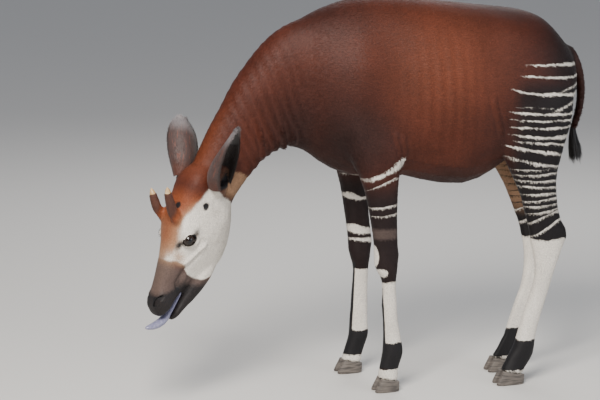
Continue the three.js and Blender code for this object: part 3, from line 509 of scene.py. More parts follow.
# painted shade in the pit under the ear and the notch behind the ossicone, bare skin before and behind the
# eye: place, size, softness
for at, size, soft_edge in (((87, -27, 84), (14, 12, 22), 0.4), ((114, 57, 33), (12, 8, 12), 0.5),
                            ((249, 10, 60), (17, 9, 26), 0.14), ((190, -24, 84), (12, 8, 20), 0.08)):
    q = (both - at) / size
    muzzle = np.maximum(muzzle, (1 - np.linalg.norm(q, axis=1)) * min(size[:2]) * soft_edge)
black = np.where(head_part, np.maximum(black, muzzle), black)
eye_gap = np.full(len(p), 1e3)
for hand in (-1, 1):
    q = h - np.array([EYE["n"], EYE["d"], hand * EYE["l"]])
    a, b = turned(q[:, 0], q[:, 1], LID_TILT)
    ring = np.hypot(a / 28.5, (b - 1) / 18.5) - 1
    eye_gap = np.minimum(eye_gap, np.where(q[:, 2] * hand > -10, ring * 9, 1e3))
black = np.maximum(black, np.where(head_part, -eye_gap, -60))

# The two ears in head directions: foot, tip and the way that the cup opens, the leaf's width in mm, how far
# it is rolled at foot and tip, half the width of the painted shade on the hide inside the cup, the outline
# from foot to tip
EARS = {
    "left": {"base": (-1, -66, 99), "tip": (-195, 50, 184), "open": (-80, -80, 300),
             "width": 120, "roll": (2.4, 1.15), "painted_shade_half": 47,
             "outline": (0.8, 0.95, 1.04, 1.06, 1.02, 0.94, 0.83, 0.68, 0.46, 0.16)},
    "right": {"base": (16, 12, -74), "tip": (-203, 26, -150), "open": (-40, 0, -330),
              "width": 134, "roll": (2.2, 0.85), "painted_shade_half": 48,
              "outline": (0.5, 0.62, 0.76, 0.87, 0.95, 1, 1, 0.93, 0.73, 0.32)},
}


def ear_frame(ear):
    """An ear's foot, its line from foot to tip, and the ways along it, across it and out of its cup."""
    foot, tip, opening = (np.array(ear[k], float) for k in ("base", "tip", "open"))
    line = tip - foot
    axis = line / np.linalg.norm(line)
    way = opening - axis * (opening @ axis)
    way /= np.linalg.norm(way)
    return foot, line, axis, np.cross(axis, way), way


# painted shade: the hide that shows inside each ear cup is blackened
for ear in EARS.values():
    foot, line, axis, across, way = ear_frame(ear)
    q = h - foot
    along, beside, deep = q @ axis, q @ across, q @ way
    lengthwise = np.minimum(along + 4, 0.8 * np.linalg.norm(line) - along)
    crosswise = np.minimum(ear["painted_shade_half"] - np.abs(beside), np.minimum(70 - deep, deep + 32))
    black = np.maximum(black, np.minimum(lengthwise, crosswise) * 0.2)
# front edge of each foreleg's shank, by height
SHIN_HEIGHTS = [0.14, 0.19, 0.26, 0.34, 0.4, 0.43]
SHIN_FRONT = {-1: [0.28, 0.281, 0.279, 0.273, 0.272, 0.262], 1: [0.246, 0.249, 0.253, 0.256, 0.259, 0.258]}
for name, (hand, white, fetlock, band) in FEET.items():
    mine = of_leg(name, hand)
    cap = np.minimum((fetlock - z) * 1000, (z - band) * 1000) + wobble
    low = (0.04 - z) * 1000
    black = np.where(mine, np.maximum(black, np.maximum(cap, low)), black)
    if name.startswith("fore"):
        shin = np.interp(z, SHIN_HEIGHTS, SHIN_FRONT[hand])
        line = np.minimum((shin - x) * 1000, (0.44 - z) * 1000)
        black = np.where(mine & (z > 0.15), np.maximum(black, line), black)

# Slow changes of colour: 1 is nearly black, 0 is chestnut; ginger, tan and grey mix in on face and legs
dark = np.zeros(len(p))
for amount, at, reach in (
        (0.85, (0.13, 0, 0.97), (0.13, 0.5, 0.16)), (0.7, (-0.04, 0, 1.0), (0.1, 0.5, 0.13)),
        (0.85, (0.88, 0, 0.98), (0.15, 0.5, 0.22)), (0.97, (1.0, 0, 1.22), (0.13, 0.5, 0.19)),
        (0.5, (0.4, 0, 0.79), (0.3, 0.5, 0.035)), (0.4, (0.08, 0, 1.42), (0.12, 0.5, 0.08)),
        (0.35, (-0.15, 0, 0.95), (0.07, 0.5, 0.06)), (0.3, (0.3, 0, 1.2), (0.08, 0.5, 0.15)),
        (0.45, (0.75, 0, 1.42), (0.2, 0.5, 0.06))):
    dark = np.maximum(dark, amount * blob(p, at, reach))
dark = np.maximum(dark, 0.92 * ease(-z, -0.9, -0.72) * (x > 0.05) * (x < 1.06))
dark = np.maximum(dark, ease(x, 0.69, 0.8) * ease(-z, -1.25, -1.11) * (x < 1.06))
dark = np.maximum(dark, 0.6 * ease(x, 1.04, 1.07))
dark = np.where(head_part, 0.15 * ease(-d, 40, 120), dark)
horn_part = on_horns(p, h, 66, 90)
dark = np.maximum(dark, 0.55 * horn_part)
dark = np.where(head_part, np.maximum(dark, 0.6 * np.exp(-0.5 * (l / 14) ** 2) * ease(n, 150, 240)), dark)
brow_gap = brow_edge - d  # mm inside the white cheek


def on_face(values):
    return np.where(head_part, values, 0)


tan = on_face(0.75 * ease(n, 225, 300) * ease(d, -20, 5) * (1 - ease(n, 320, 400)))
tan = np.maximum(tan, on_face(0.8 * np.exp(-0.5 * ((brow_gap - 4) / 13) ** 2) * ease(n, 60, 120)))
tan = np.maximum(tan, on_face(0.75 * ease(-n, -40, 0) * ease(-d, 40, 110)))
tan = np.maximum(tan, on_face(0.8 * ease(n, 180, 220) * (1 - ease(n, 310, 330)) * ease(brow_gap, -7, 7)))
ginger = on_face(ease(n, 20, 110) * (1 - 0.5 * ease(n, 240, 300)) * ease(d, -30, 10))
ginger = ginger * (1 - 0.75 * horn_part)
ginger = np.maximum(ginger, 0.55 * ease(-x, 0.22, 0.34) * ease(z, 0.8, 0.95) * ease(d, -40, 30))
ginger = np.maximum(ginger, 0.35 * blob(p * [1, 0, 1], (0.48, 0, 1.25), (0.16, 1, 0.14)))
throat = ease(-x, 0.3, 0.42) * ease(-z, -0.82, -0.7) * 0.7
tan = np.maximum(tan, throat * (~head_part))
# inner face of the far hind leg: tan with dark bars where the outer face has white ones
far_leg = 0.8 * ease(x, 0.7, 0.76) * ease(y, -0.06, 0.0) * ease(-y, -0.14, -0.06) * ease(z, 0.6, 0.7)
tan = np.maximum(tan, far_leg * ease(-z, -0.9, -0.8) * (x < 0.98))
inner_leg = hind & (y > -0.03) & (z > 0.6) & (z < 0.9) & (tan > 0.3)
for places, front_half, rear_half in HAUNCH:
    if places[0][1] < 0.9:
        bar = stripe(places, front_half, rear_half, None, FAR_SHIFT)
        black = np.where(inner_leg, np.maximum(black, bar), black)
pale = np.where(inner_leg, -60, pale)
grey = on_face(ease(n, 285, 345) * 0.92)
grey = np.maximum(grey, on_face(0.3 * horn_part))
# painted shade under the ear
grey = np.maximum(grey, on_face(0.5 * blob(both, (95, -72, 80), (26, 26, 40))))
grey = np.maximum(grey, np.where(left_fore, 0.75 * ease(-np.abs(z - 0.612), -0.026, -0.012), 0))


def put_field(mesh, name, values):
    layer = mesh.attributes.new(name, "FLOAT", "POINT")
    layer.data.foreach_set("value", np.asarray(values, np.float32))


FIELDS = {"pale": pale, "black": black, "dark": dark, "ginger": ginger, "tan": tan, "grey": grey,
          "tone": np.full(len(p), 0.5)}
for name in FIELDS:
    FIELDS[name] = np.clip(FIELDS[name], -60, 60)
for name, values in FIELDS.items():
    put_field(skin.data, name, values)


def group(name, inputs, outputs):
    """An empty shader group with the named sockets."""
    tree = bpy.data.node_groups.new(name, "ShaderNodeTree")
    for socket, kind, value in inputs:
        made = tree.interface.new_socket(socket, in_out="INPUT", socket_type=kind)
        if value is not None:
            made.default_value = value
    for socket, kind in outputs:
        tree.interface.new_socket(socket, in_out="OUTPUT", socket_type=kind)
    return tree, tree.nodes.new("NodeGroupInput"), tree.nodes.new("NodeGroupOutput")


def use(tree, kind, **settings):
    """A node with the given settings; a setting named like an input gives that input its value."""
    made = tree.nodes.new(kind)
    for key, value in settings.items():
        if hasattr(made, key):
            setattr(made, key, value)
        else:
            made.inputs[key.replace("_", " ")].default_value = value
    return made


def object_noise(tree, scale, detail):
    """A noise over the object's own coordinates."""
    noise = use(tree, "ShaderNodeTexNoise", Scale=scale, Detail=detail)
    tree.links.new(use(tree, "ShaderNodeTexCoord").outputs["Object"], noise.inputs["Vector"])
    return noise.outputs["Fac"]


def fixed(tree, rgb):
    """One plain colour."""
    made = use(tree, "ShaderNodeRGB")
    made.outputs[0].default_value = (*rgb, 1)
    return made.outputs[0]


# Where one colour of hair stops and the next begins: single hairs cross the edge
hair_edge, gi, go = group(
    "hair_edge", [("Field", "NodeSocketFloat", 0.0), ("Ragged", "NodeSocketFloat", 2.0)],
    [("Mask", "NodeSocketFloat")])
fine = object_noise(hair_edge, 420.0, 1.0)
centred = use(hair_edge, "ShaderNodeMath", operation="SUBTRACT")
centred.inputs[1].default_value = 0.5
hair_edge.links.new(fine, centred.inputs[0])
scaled = use(hair_edge, "ShaderNodeMath", operation="MULTIPLY_ADD")
hair_edge.links.new(centred.outputs[0], scaled.inputs[0])
hair_edge.links.new(gi.outputs["Ragged"], scaled.inputs[1])
hair_edge.links.new(gi.outputs["Field"], scaled.inputs[2])
soft = use(hair_edge, "ShaderNodeMapRange", interpolation_type="SMOOTHSTEP", From_Min=-1.0, From_Max=1.0)
hair_edge.links.new(scaled.outputs[0], soft.inputs["Value"])
hair_edge.links.new(soft.outputs["Result"], go.inputs["Mask"])

# The coat's colours laid over each other in the order that they cover
coat_colour, gi, go = group("coat_colour", [
    ("Chestnut", "NodeSocketColor", (0.066, 0.0150, 0.0075, 1)),
    ("Seal", "NodeSocketColor", (0.0065, 0.0045, 0.005, 1)),
    ("Ginger", "NodeSocketColor", (0.20, 0.050, 0.017, 1)), ("Tan", "NodeSocketColor", (0.36, 0.21, 0.12, 1)),
    ("Grey", "NodeSocketColor", (0.085, 0.06, 0.052, 1)), ("White", "NodeSocketColor", (0.68, 0.63, 0.56, 1)),
    ("Black", "NodeSocketColor", (0.010, 0.009, 0.010, 1)), ("Tone", "NodeSocketFloat", 0.5),
    ("Dark", "NodeSocketFloat", 0.0), ("Gingered", "NodeSocketFloat", 0.0),
    ("Tanned", "NodeSocketFloat", 0.0), ("Greyed", "NodeSocketFloat", 0.0),
    ("Pale", "NodeSocketFloat", 0.0), ("Blackened", "NodeSocketFloat", 0.0)], [("Color", "NodeSocketColor")])
patches = object_noise(coat_colour, 7.0, 3.0)
strands = object_noise(coat_colour, 260.0, 2.0)


def over(tree, low, high, mask):
    """The colour high laid over low by the mask."""
    mix = use(tree, "ShaderNodeMix", data_type="RGBA")
    tree.links.new(low, mix.inputs[6])
    tree.links.new(high, mix.inputs[7])
    tree.links.new(mask, mix.inputs[0])
    return mix.outputs[2]


def shaded(tree, colour, noise, low, high):
    """The colour made lighter and darker by a noise."""
    span = use(tree, "ShaderNodeMapRange", From_Min=0.3, From_Max=0.7, To_Min=low, To_Max=high)
    tree.links.new(noise, span.inputs["Value"])
    times = use(tree, "ShaderNodeVectorMath", operation="SCALE")
    tree.links.new(colour, times.inputs[0])
    tree.links.new(span.outputs["Result"], times.inputs["Scale"])
    return times.outputs[0]


colour = over(coat_colour, gi.outputs["Chestnut"], gi.outputs["Seal"], gi.outputs["Dark"])
colour = shaded(coat_colour, colour, patches, 0.78, 1.2)
colour = over(coat_colour, colour, gi.outputs["Ginger"], gi.outputs["Gingered"])
colour = over(coat_colour, colour, gi.outputs["Tan"], gi.outputs["Tanned"])
colour = over(coat_colour, colour, gi.outputs["Grey"], gi.outputs["Greyed"])
white = shaded(coat_colour, gi.outputs["White"], patches, 0.86, 1.06)
colour = over(coat_colour, colour, white, gi.outputs["Pale"])
colour = over(coat_colour, colour, gi.outputs["Black"], gi.outputs["Blackened"])
colour = shaded(coat_colour, colour, strands, 0.78, 1.2)
colour = shaded(coat_colour, colour, gi.outputs["Tone"], 0.9, 1.1)
coat_colour.links.new(colour, go.inputs["Color"])

# Short hair seen close: a fine grain that lies one way
hair_grain, gi, go = group(
    "hair_grain", [("Strength", "NodeSocketFloat", 0.35)], [("Normal", "NodeSocketVector")])
coords = use(hair_grain, "ShaderNodeTexCoord")
lie = use(hair_grain, "ShaderNodeMapping", Scale=(210, 520, 210))
grain = use(hair_grain, "ShaderNodeTexNoise", Scale=1.0, Detail=2.0)
bump = use(hair_grain, "ShaderNodeBump", Distance=0.0012)
hair_grain.links.new(coords.outputs["Object"], lie.inputs["Vector"])
hair_grain.links.new(lie.outputs["Vector"], grain.inputs["Vector"])
hair_grain.links.new(grain.outputs["Fac"], bump.inputs["Height"])
hair_grain.links.new(gi.outputs["Strength"], bump.inputs["Strength"])
hair_grain.links.new(bump.outputs["Normal"], go.inputs["Normal"])


def grouped(tree, inner):
    made = tree.nodes.new("ShaderNodeGroup")
    made.node_tree = inner
    return made


def material(name, roughness):
    """A material with a bare Principled shader; returns the material, its tree and the shader."""
    made = bpy.data.materials.new(name)
    made.use_nodes = True
    shader = made.node_tree.nodes["Principled BSDF"]
    shader.inputs["Roughness"].default_value = roughness
    return made, made.node_tree, shader


coat, tree, shader = material("okapi_coat", 0.58)
shader.inputs["Sheen Weight"].default_value = 0.03
shader.inputs["Sheen Roughness"].default_value = 0.35
shader.inputs["Specular IOR Level"].default_value = 0.22
paint = grouped(tree, coat_colour)
for name, socket, ragged in (("pale", "Pale", 1.7), ("black", "Blackened", 2.0), ("dark", "Dark", None),
                             ("ginger", "Gingered", None), ("tan", "Tanned", None), ("grey", "Greyed", None),
                             ("tone", "Tone", None)):
    field = use(tree, "ShaderNodeAttribute", attribute_name=name)
    if ragged is None:
        tree.links.new(field.outputs["Fac"], paint.inputs[socket])
    else:
        edge = grouped(tree, hair_edge)
        edge.inputs["Ragged"].default_value = ragged
        tree.links.new(field.outputs["Fac"], edge.inputs["Field"])
        tree.links.new(edge.outputs["Mask"], paint.inputs[socket])
tree.links.new(paint.outputs["Color"], shader.inputs["Base Color"])
grain = grouped(tree, hair_grain)
tree.links.new(grain.outputs["Normal"], shader.inputs["Normal"])
skin.data.materials.append(coat)
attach(skin, "root")
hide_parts(*FLESH)

# Coat
# Short hair in small flat tufts that lie back along the body, from nose to tail and down the legs.
# They grow out of the hide and carry its markings; the smallest are on the face and the feet.
def mesh_of_blades(name, strips, fields, uv):
    """Joins tapered blades into one mesh. strips: (count, rows, 2, 3) edge points; the last row is a tip."""
    count, rows = strips.shape[:2]
    body = strips[:, :-1].reshape(count, -1, 3)
    tips = strips[:, -1].mean(1, keepdims=True)
    verts = np.concatenate([body, tips], 1)
    per = verts.shape[1]
    tris = []
    for r in range(rows - 2):
        a, b, c, e = 2 * r, 2 * r + 1, 2 * r + 2, 2 * r + 3
        tris += [(a, b, e), (a, e, c)]
    tris.append((2 * rows - 4, 2 * rows - 3, per - 1))
    tris = (np.array(tris)[None] + (np.arange(count) * per)[:, None, None]).reshape(-1, 3)
    mesh = bpy.data.meshes.new(name)
    mesh.vertices.add(count * per)
    mesh.vertices.foreach_set("co", verts.astype(np.float32).ravel())
    mesh.loops.add(len(tris) * 3)
    mesh.loops.foreach_set("vertex_index", tris.astype(np.int32).ravel())
    mesh.polygons.add(len(tris))
    mesh.polygons.foreach_set("loop_start", (np.arange(len(tris)) * 3).astype(np.int32))
    mesh.polygons.foreach_set("use_smooth", np.ones(len(tris), bool))
    mesh.update(calc_edges=True)
    for field, values in fields.items():
        put_field(mesh, field, np.repeat(values, per))
    if uv is not None:
        side = np.tile([-1.0, 1.0], rows - 1)
        up = np.repeat(np.arange(rows - 1) / (rows - 1), 2)
        patch = np.concatenate([np.stack([side, 2 * up - 1], 1), [[0.0, 1.0]]]) * PATCH / 2
        spots = (uv[:, None] + patch[None]).reshape(-1, 2)
        layer = mesh.uv_layers.new(name="OFBake")
        layer.data.foreach_set("uv", spots[tris.ravel()].astype(np.float32).ravel())
    obj = bpy.data.objects.new(name, mesh)
    bpy.context.scene.collection.objects.link(obj)
    return obj


PATCH = 0.003  # width of a tuft's place on the unwrapped hide
skin.data.calc_loop_triangles()
tri = np.empty(len(skin.data.loop_triangles) * 3, np.int32)
skin.data.loop_triangles.foreach_get("vertices", tri)
tri = tri.reshape(-1, 3)
co = points_of(skin.data) - SHIFT
corner = co[tri]
cross = np.cross(corner[:, 1] - corner[:, 0], corner[:, 2] - corner[:, 0])
area = np.linalg.norm(cross, axis=1) / 2
vertex_normal = normals_of(skin.data)
middle = corner.mean(1)
mh = in_head(middle)
is_head = (mh[:, 0] > -35) & (middle[:, 0] < -0.25)
loose_edge = rng.normal(size=len(tri)) * 0.05  # so that one region's tufts mix with the next one's
is_neck = ~is_head & (middle[:, 0] < loose_edge)
is_tail = (middle[:, 0] > 1.065) & (middle[:, 2] > 0.9)
is_leg = ~is_head & ~is_neck & (middle[:, 2] < 0.85) & ~is_tail
is_fore = is_leg & (middle[:, 0] < 0.5)
is_hind = is_leg & ~is_fore
is_trunk = ~(is_head | is_neck | is_leg)
eye_near = np.min([np.linalg.norm(mh - [EYE["n"], EYE["d"], s * (EYE["l"] + 15)], axis=1)
                   for s in (-1, 1)], 0)
HEAD_LIE = -to_nose + 0.25 * np.array([0, 0, -1.0])
NECK_LIE = np.array([0.72, 0.1, 0.55])


def unwrapped(region, q):
    """Place of points on the unwrap of one region of the hide: along it, and round its middle line."""
    if region == "head":
        g = in_head(q)
        return np.stack([(g[:, 0] + 60) / 600, np.arctan2(g[:, 2], g[:, 1] + 45) / (2 * math.pi) + 0.5], 1)
    if region == "neck":
        along = (-q[:, 0] * 0.72 - (q[:, 2] - 1.1) * 0.7) / 0.75 + 0.25
        centre = np.interp(q[:, 0], [-0.43, -0.31, -0.14, 0.0], [0.79, 0.92, 1.085, 1.14])
        return np.stack([along, np.arctan2(q[:, 1], q[:, 2] - centre) / (2 * math.pi) + 0.5], 1)
    if region.startswith("trunk"):
        return np.stack([q[:, 0] / 1.16, np.arctan2(q[:, 1], q[:, 2] - 1.12) / (2 * math.pi) + 0.5], 1)
    between = 0.02 if region == "forelegs" else np.interp(q[:, 2], [0.1, 0.9], [-0.08, 0.0])
    hand = (q[:, 1] > between).astype(float)
    if region == "forelegs":
        cx = np.interp(q[:, 2], [0.02, 0.1, 0.2, 0.5, 0.85], [0.29, 0.3, 0.31, 0.285, 0.25]) - 0.03 * hand
        cy = np.where(hand > 0, 0.16, -0.122)
    else:
        heights = [0.02, 0.1, 0.33, 0.57, 0.85]
        cx = np.interp(q[:, 2], heights, [0.775, 0.81, 0.885, 0.926, 0.867]) + 0.04 * hand
        cy = np.where(hand > 0, np.interp(q[:, 2], [0, 0.57, 0.85], [0.013, 0.042, 0.1]), -0.16)
    turn = np.arctan2(q[:, 1] - cy, q[:, 0] - cx) / (2 * math.pi) + 0.5
    return np.stack([q[:, 2] / 0.87, (turn * 0.96 + 0.02 + hand) / 2], 1)


TUFT_SUNK = 0.0006  # m by which a tuft's root lies under the hide
# region: its faces, tufts, length and width in mm, lift from the hide in degrees, rows of a blade
REGIONS = [
    ("head", is_head, 62000, 6.0, 1.3, 13, 3),
    ("neck", is_neck, 45000, 11.0, 2.4, 11, 3),
    ("trunk_left", is_trunk & (middle[:, 1] < 0), 64000, 12.0, 2.6, 10, 3),
    ("trunk_right", is_trunk & (middle[:, 1] >= 0), 64000, 12.0, 2.6, 10, 3),
    ("forelegs", is_fore, 42000, 8.0, 1.7, 12, 3),
    ("hindlegs", is_hind, 46000, 8.0, 1.8, 12, 3),
]
for region, chosen, count, length, width, lean, rows in REGIONS:
    weight = area * chosen
    if region == "head":
        weight = weight * (1 + 0.8 * ease(-mh[:, 1], -30, 40)) * ease(eye_near, 24, 34)
        weight = weight * (1 - 0.9 * ease(mh[:, 0], 430, 470))
    pick = rng.choice(len(tri), count, p=weight / weight.sum())
    a, b = rng.random((2, count))
    over_one = a + b > 1
    a[over_one], b[over_one] = 1 - a[over_one], 1 - b[over_one]
    share = np.stack([1 - a - b, a, b], 1)
    root = (corner[pick] * share[:, :, None]).sum(1)
    normal = (vertex_normal[tri[pick]] * share[:, :, None]).sum(1)
    normal /= np.linalg.norm(normal, axis=1)[:, None]
    g = in_head(root)
    blend_head = ease(g[:, 0], -90, -20)[:, None] * (root[:, :1] < -0.2)
    blend_neck = ease(-root[:, 0], -0.12, 0.08)[:, None]
    blend_leg = ease(-root[:, 2], -0.98, -0.82)[:, None] * (root[:, :1] > 0.05)
    lie = np.array([1.0, 0.0, -0.45]) * (1 - blend_neck) + NECK_LIE * blend_neck
    lie = lie * (1 - blend_leg) + np.array([0.18, 0, -1.0]) * blend_leg
    lie = lie * (1 - blend_head) + HEAD_LIE * blend_head
    lie = lie + 0.22 * rng.normal(size=(count, 3))
    lie -= normal * (lie * normal).sum(1)[:, None]
    lie /= np.maximum(np.linalg.norm(lie, axis=1), 1e-6)[:, None]
    across = np.cross(normal, lie)
    size = length * (0.7 + 0.6 * rng.random(count))
    if region == "head":
        size *= 1 - 0.45 * ease(g[:, 0], 150, 330)
        size *= 1 + 0.5 * ease(-g[:, 1], 110, 190)
    if "legs" in region:
        size *= 1 - 0.35 * ease(-root[:, 2], -0.6, -0.2)
        size *= 1 + 0.5 * ease(-root[:, 2], -0.1, -0.06)
    tilt = np.radians(lean * (0.5 + rng.random(count)))
    half = width / 2 * (0.7 + 0.6 * rng.random(count)) / 1000
    strips = np.empty((count, rows, 2, 3))
    for r, (way, wide, bend) in enumerate(((0.0, 0.8, 0.0), (0.5, 1.0, 1.15), (1.0, 0.0, 0.75))):
        step = size * way / 1000
        spine = root - normal * TUFT_SUNK + lie * (step * np.cos(tilt))[:, None]
        spine = spine + normal * (step * np.sin(tilt) * bend)[:, None]
        strips[:, r, 0] = spine - across * (half * wide)[:, None]
        strips[:, r, 1] = spine + across * (half * wide)[:, None]
    carried = {name: (values[tri[pick]] * share).sum(1) for name, values in FIELDS.items()}
    carried["tone"] = rng.random(count)
    tufts = mesh_of_blades(f"coat_{region}", strips + SHIFT, carried, unwrapped(region, root))
    tufts.data.materials.append(coat)
    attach(tufts, "root")

# Ears
# Broad leaves of thin skin rolled into a cup round their foot, veined outside, hairy inside, with painted
# shade deep in the cup and a patch of painted light on its inner wall, a fringe along the rim and a grizzled
# tip.
EAR_THICKNESS, EAR_CURL, EAR_DEPTH = 5.0, 0.12, 0.68
ear_hide, tree, shader = material("ear_hide", 0.62)
shader.inputs["Sheen Weight"].default_value = 0.12
veins = use(tree, "ShaderNodeTexNoise", Scale=1.0, Detail=2.0)
lengthwise = use(tree, "ShaderNodeMapping", Scale=(34, 5, 1))
place = use(tree, "ShaderNodeUVMap", uv_map="leaf")
tree.links.new(place.outputs["UV"], lengthwise.inputs["Vector"])
tree.links.new(lengthwise.outputs["Vector"], veins.inputs["Vector"])
hide_colour = fixed(tree, (0.055, 0.03, 0.026))
vein_colour = fixed(tree, (0.13, 0.042, 0.028))
# painted light: an orange patch on the inner wall of the cup
painted_light_colour = fixed(tree, (0.42, 0.12, 0.03))
black_and_shade_colour = fixed(tree, (0.009, 0.006, 0.006))
root_colour = fixed(tree, (0.085, 0.022, 0.011))
frost_colour = fixed(tree, (0.2, 0.18, 0.185))
vein_mask = use(tree, "ShaderNodeMapRange", interpolation_type="SMOOTHSTEP", From_Min=0.56, From_Max=0.68)
tree.links.new(veins.outputs["Fac"], vein_mask.inputs["Value"])
colour = over(tree, hide_colour, vein_colour, vein_mask.outputs["Result"])
# over the hide: hair at the foot, painted shade inside the cup, painted light, the grizzled tip and the black
# rim
for name, tint in (("root", root_colour), ("inside", black_and_shade_colour), ("painted_light", painted_light_colour),
                   ("frost", frost_colour), ("rim", black_and_shade_colour)):
    field = use(tree, "ShaderNodeAttribute", attribute_name=name)
    colour = over(tree, colour, tint, field.outputs["Fac"])
colour = shaded(tree, colour, object_noise(tree, 330.0, 2.0), 0.75, 1.25)
tree.links.new(colour, shader.inputs["Base Color"])
bump = use(tree, "ShaderNodeBump", Distance=0.0015, Strength=0.5)
tree.links.new(veins.outputs["Fac"], bump.inputs["Height"])
tree.links.new(bump.outputs["Normal"], shader.inputs["Normal"])

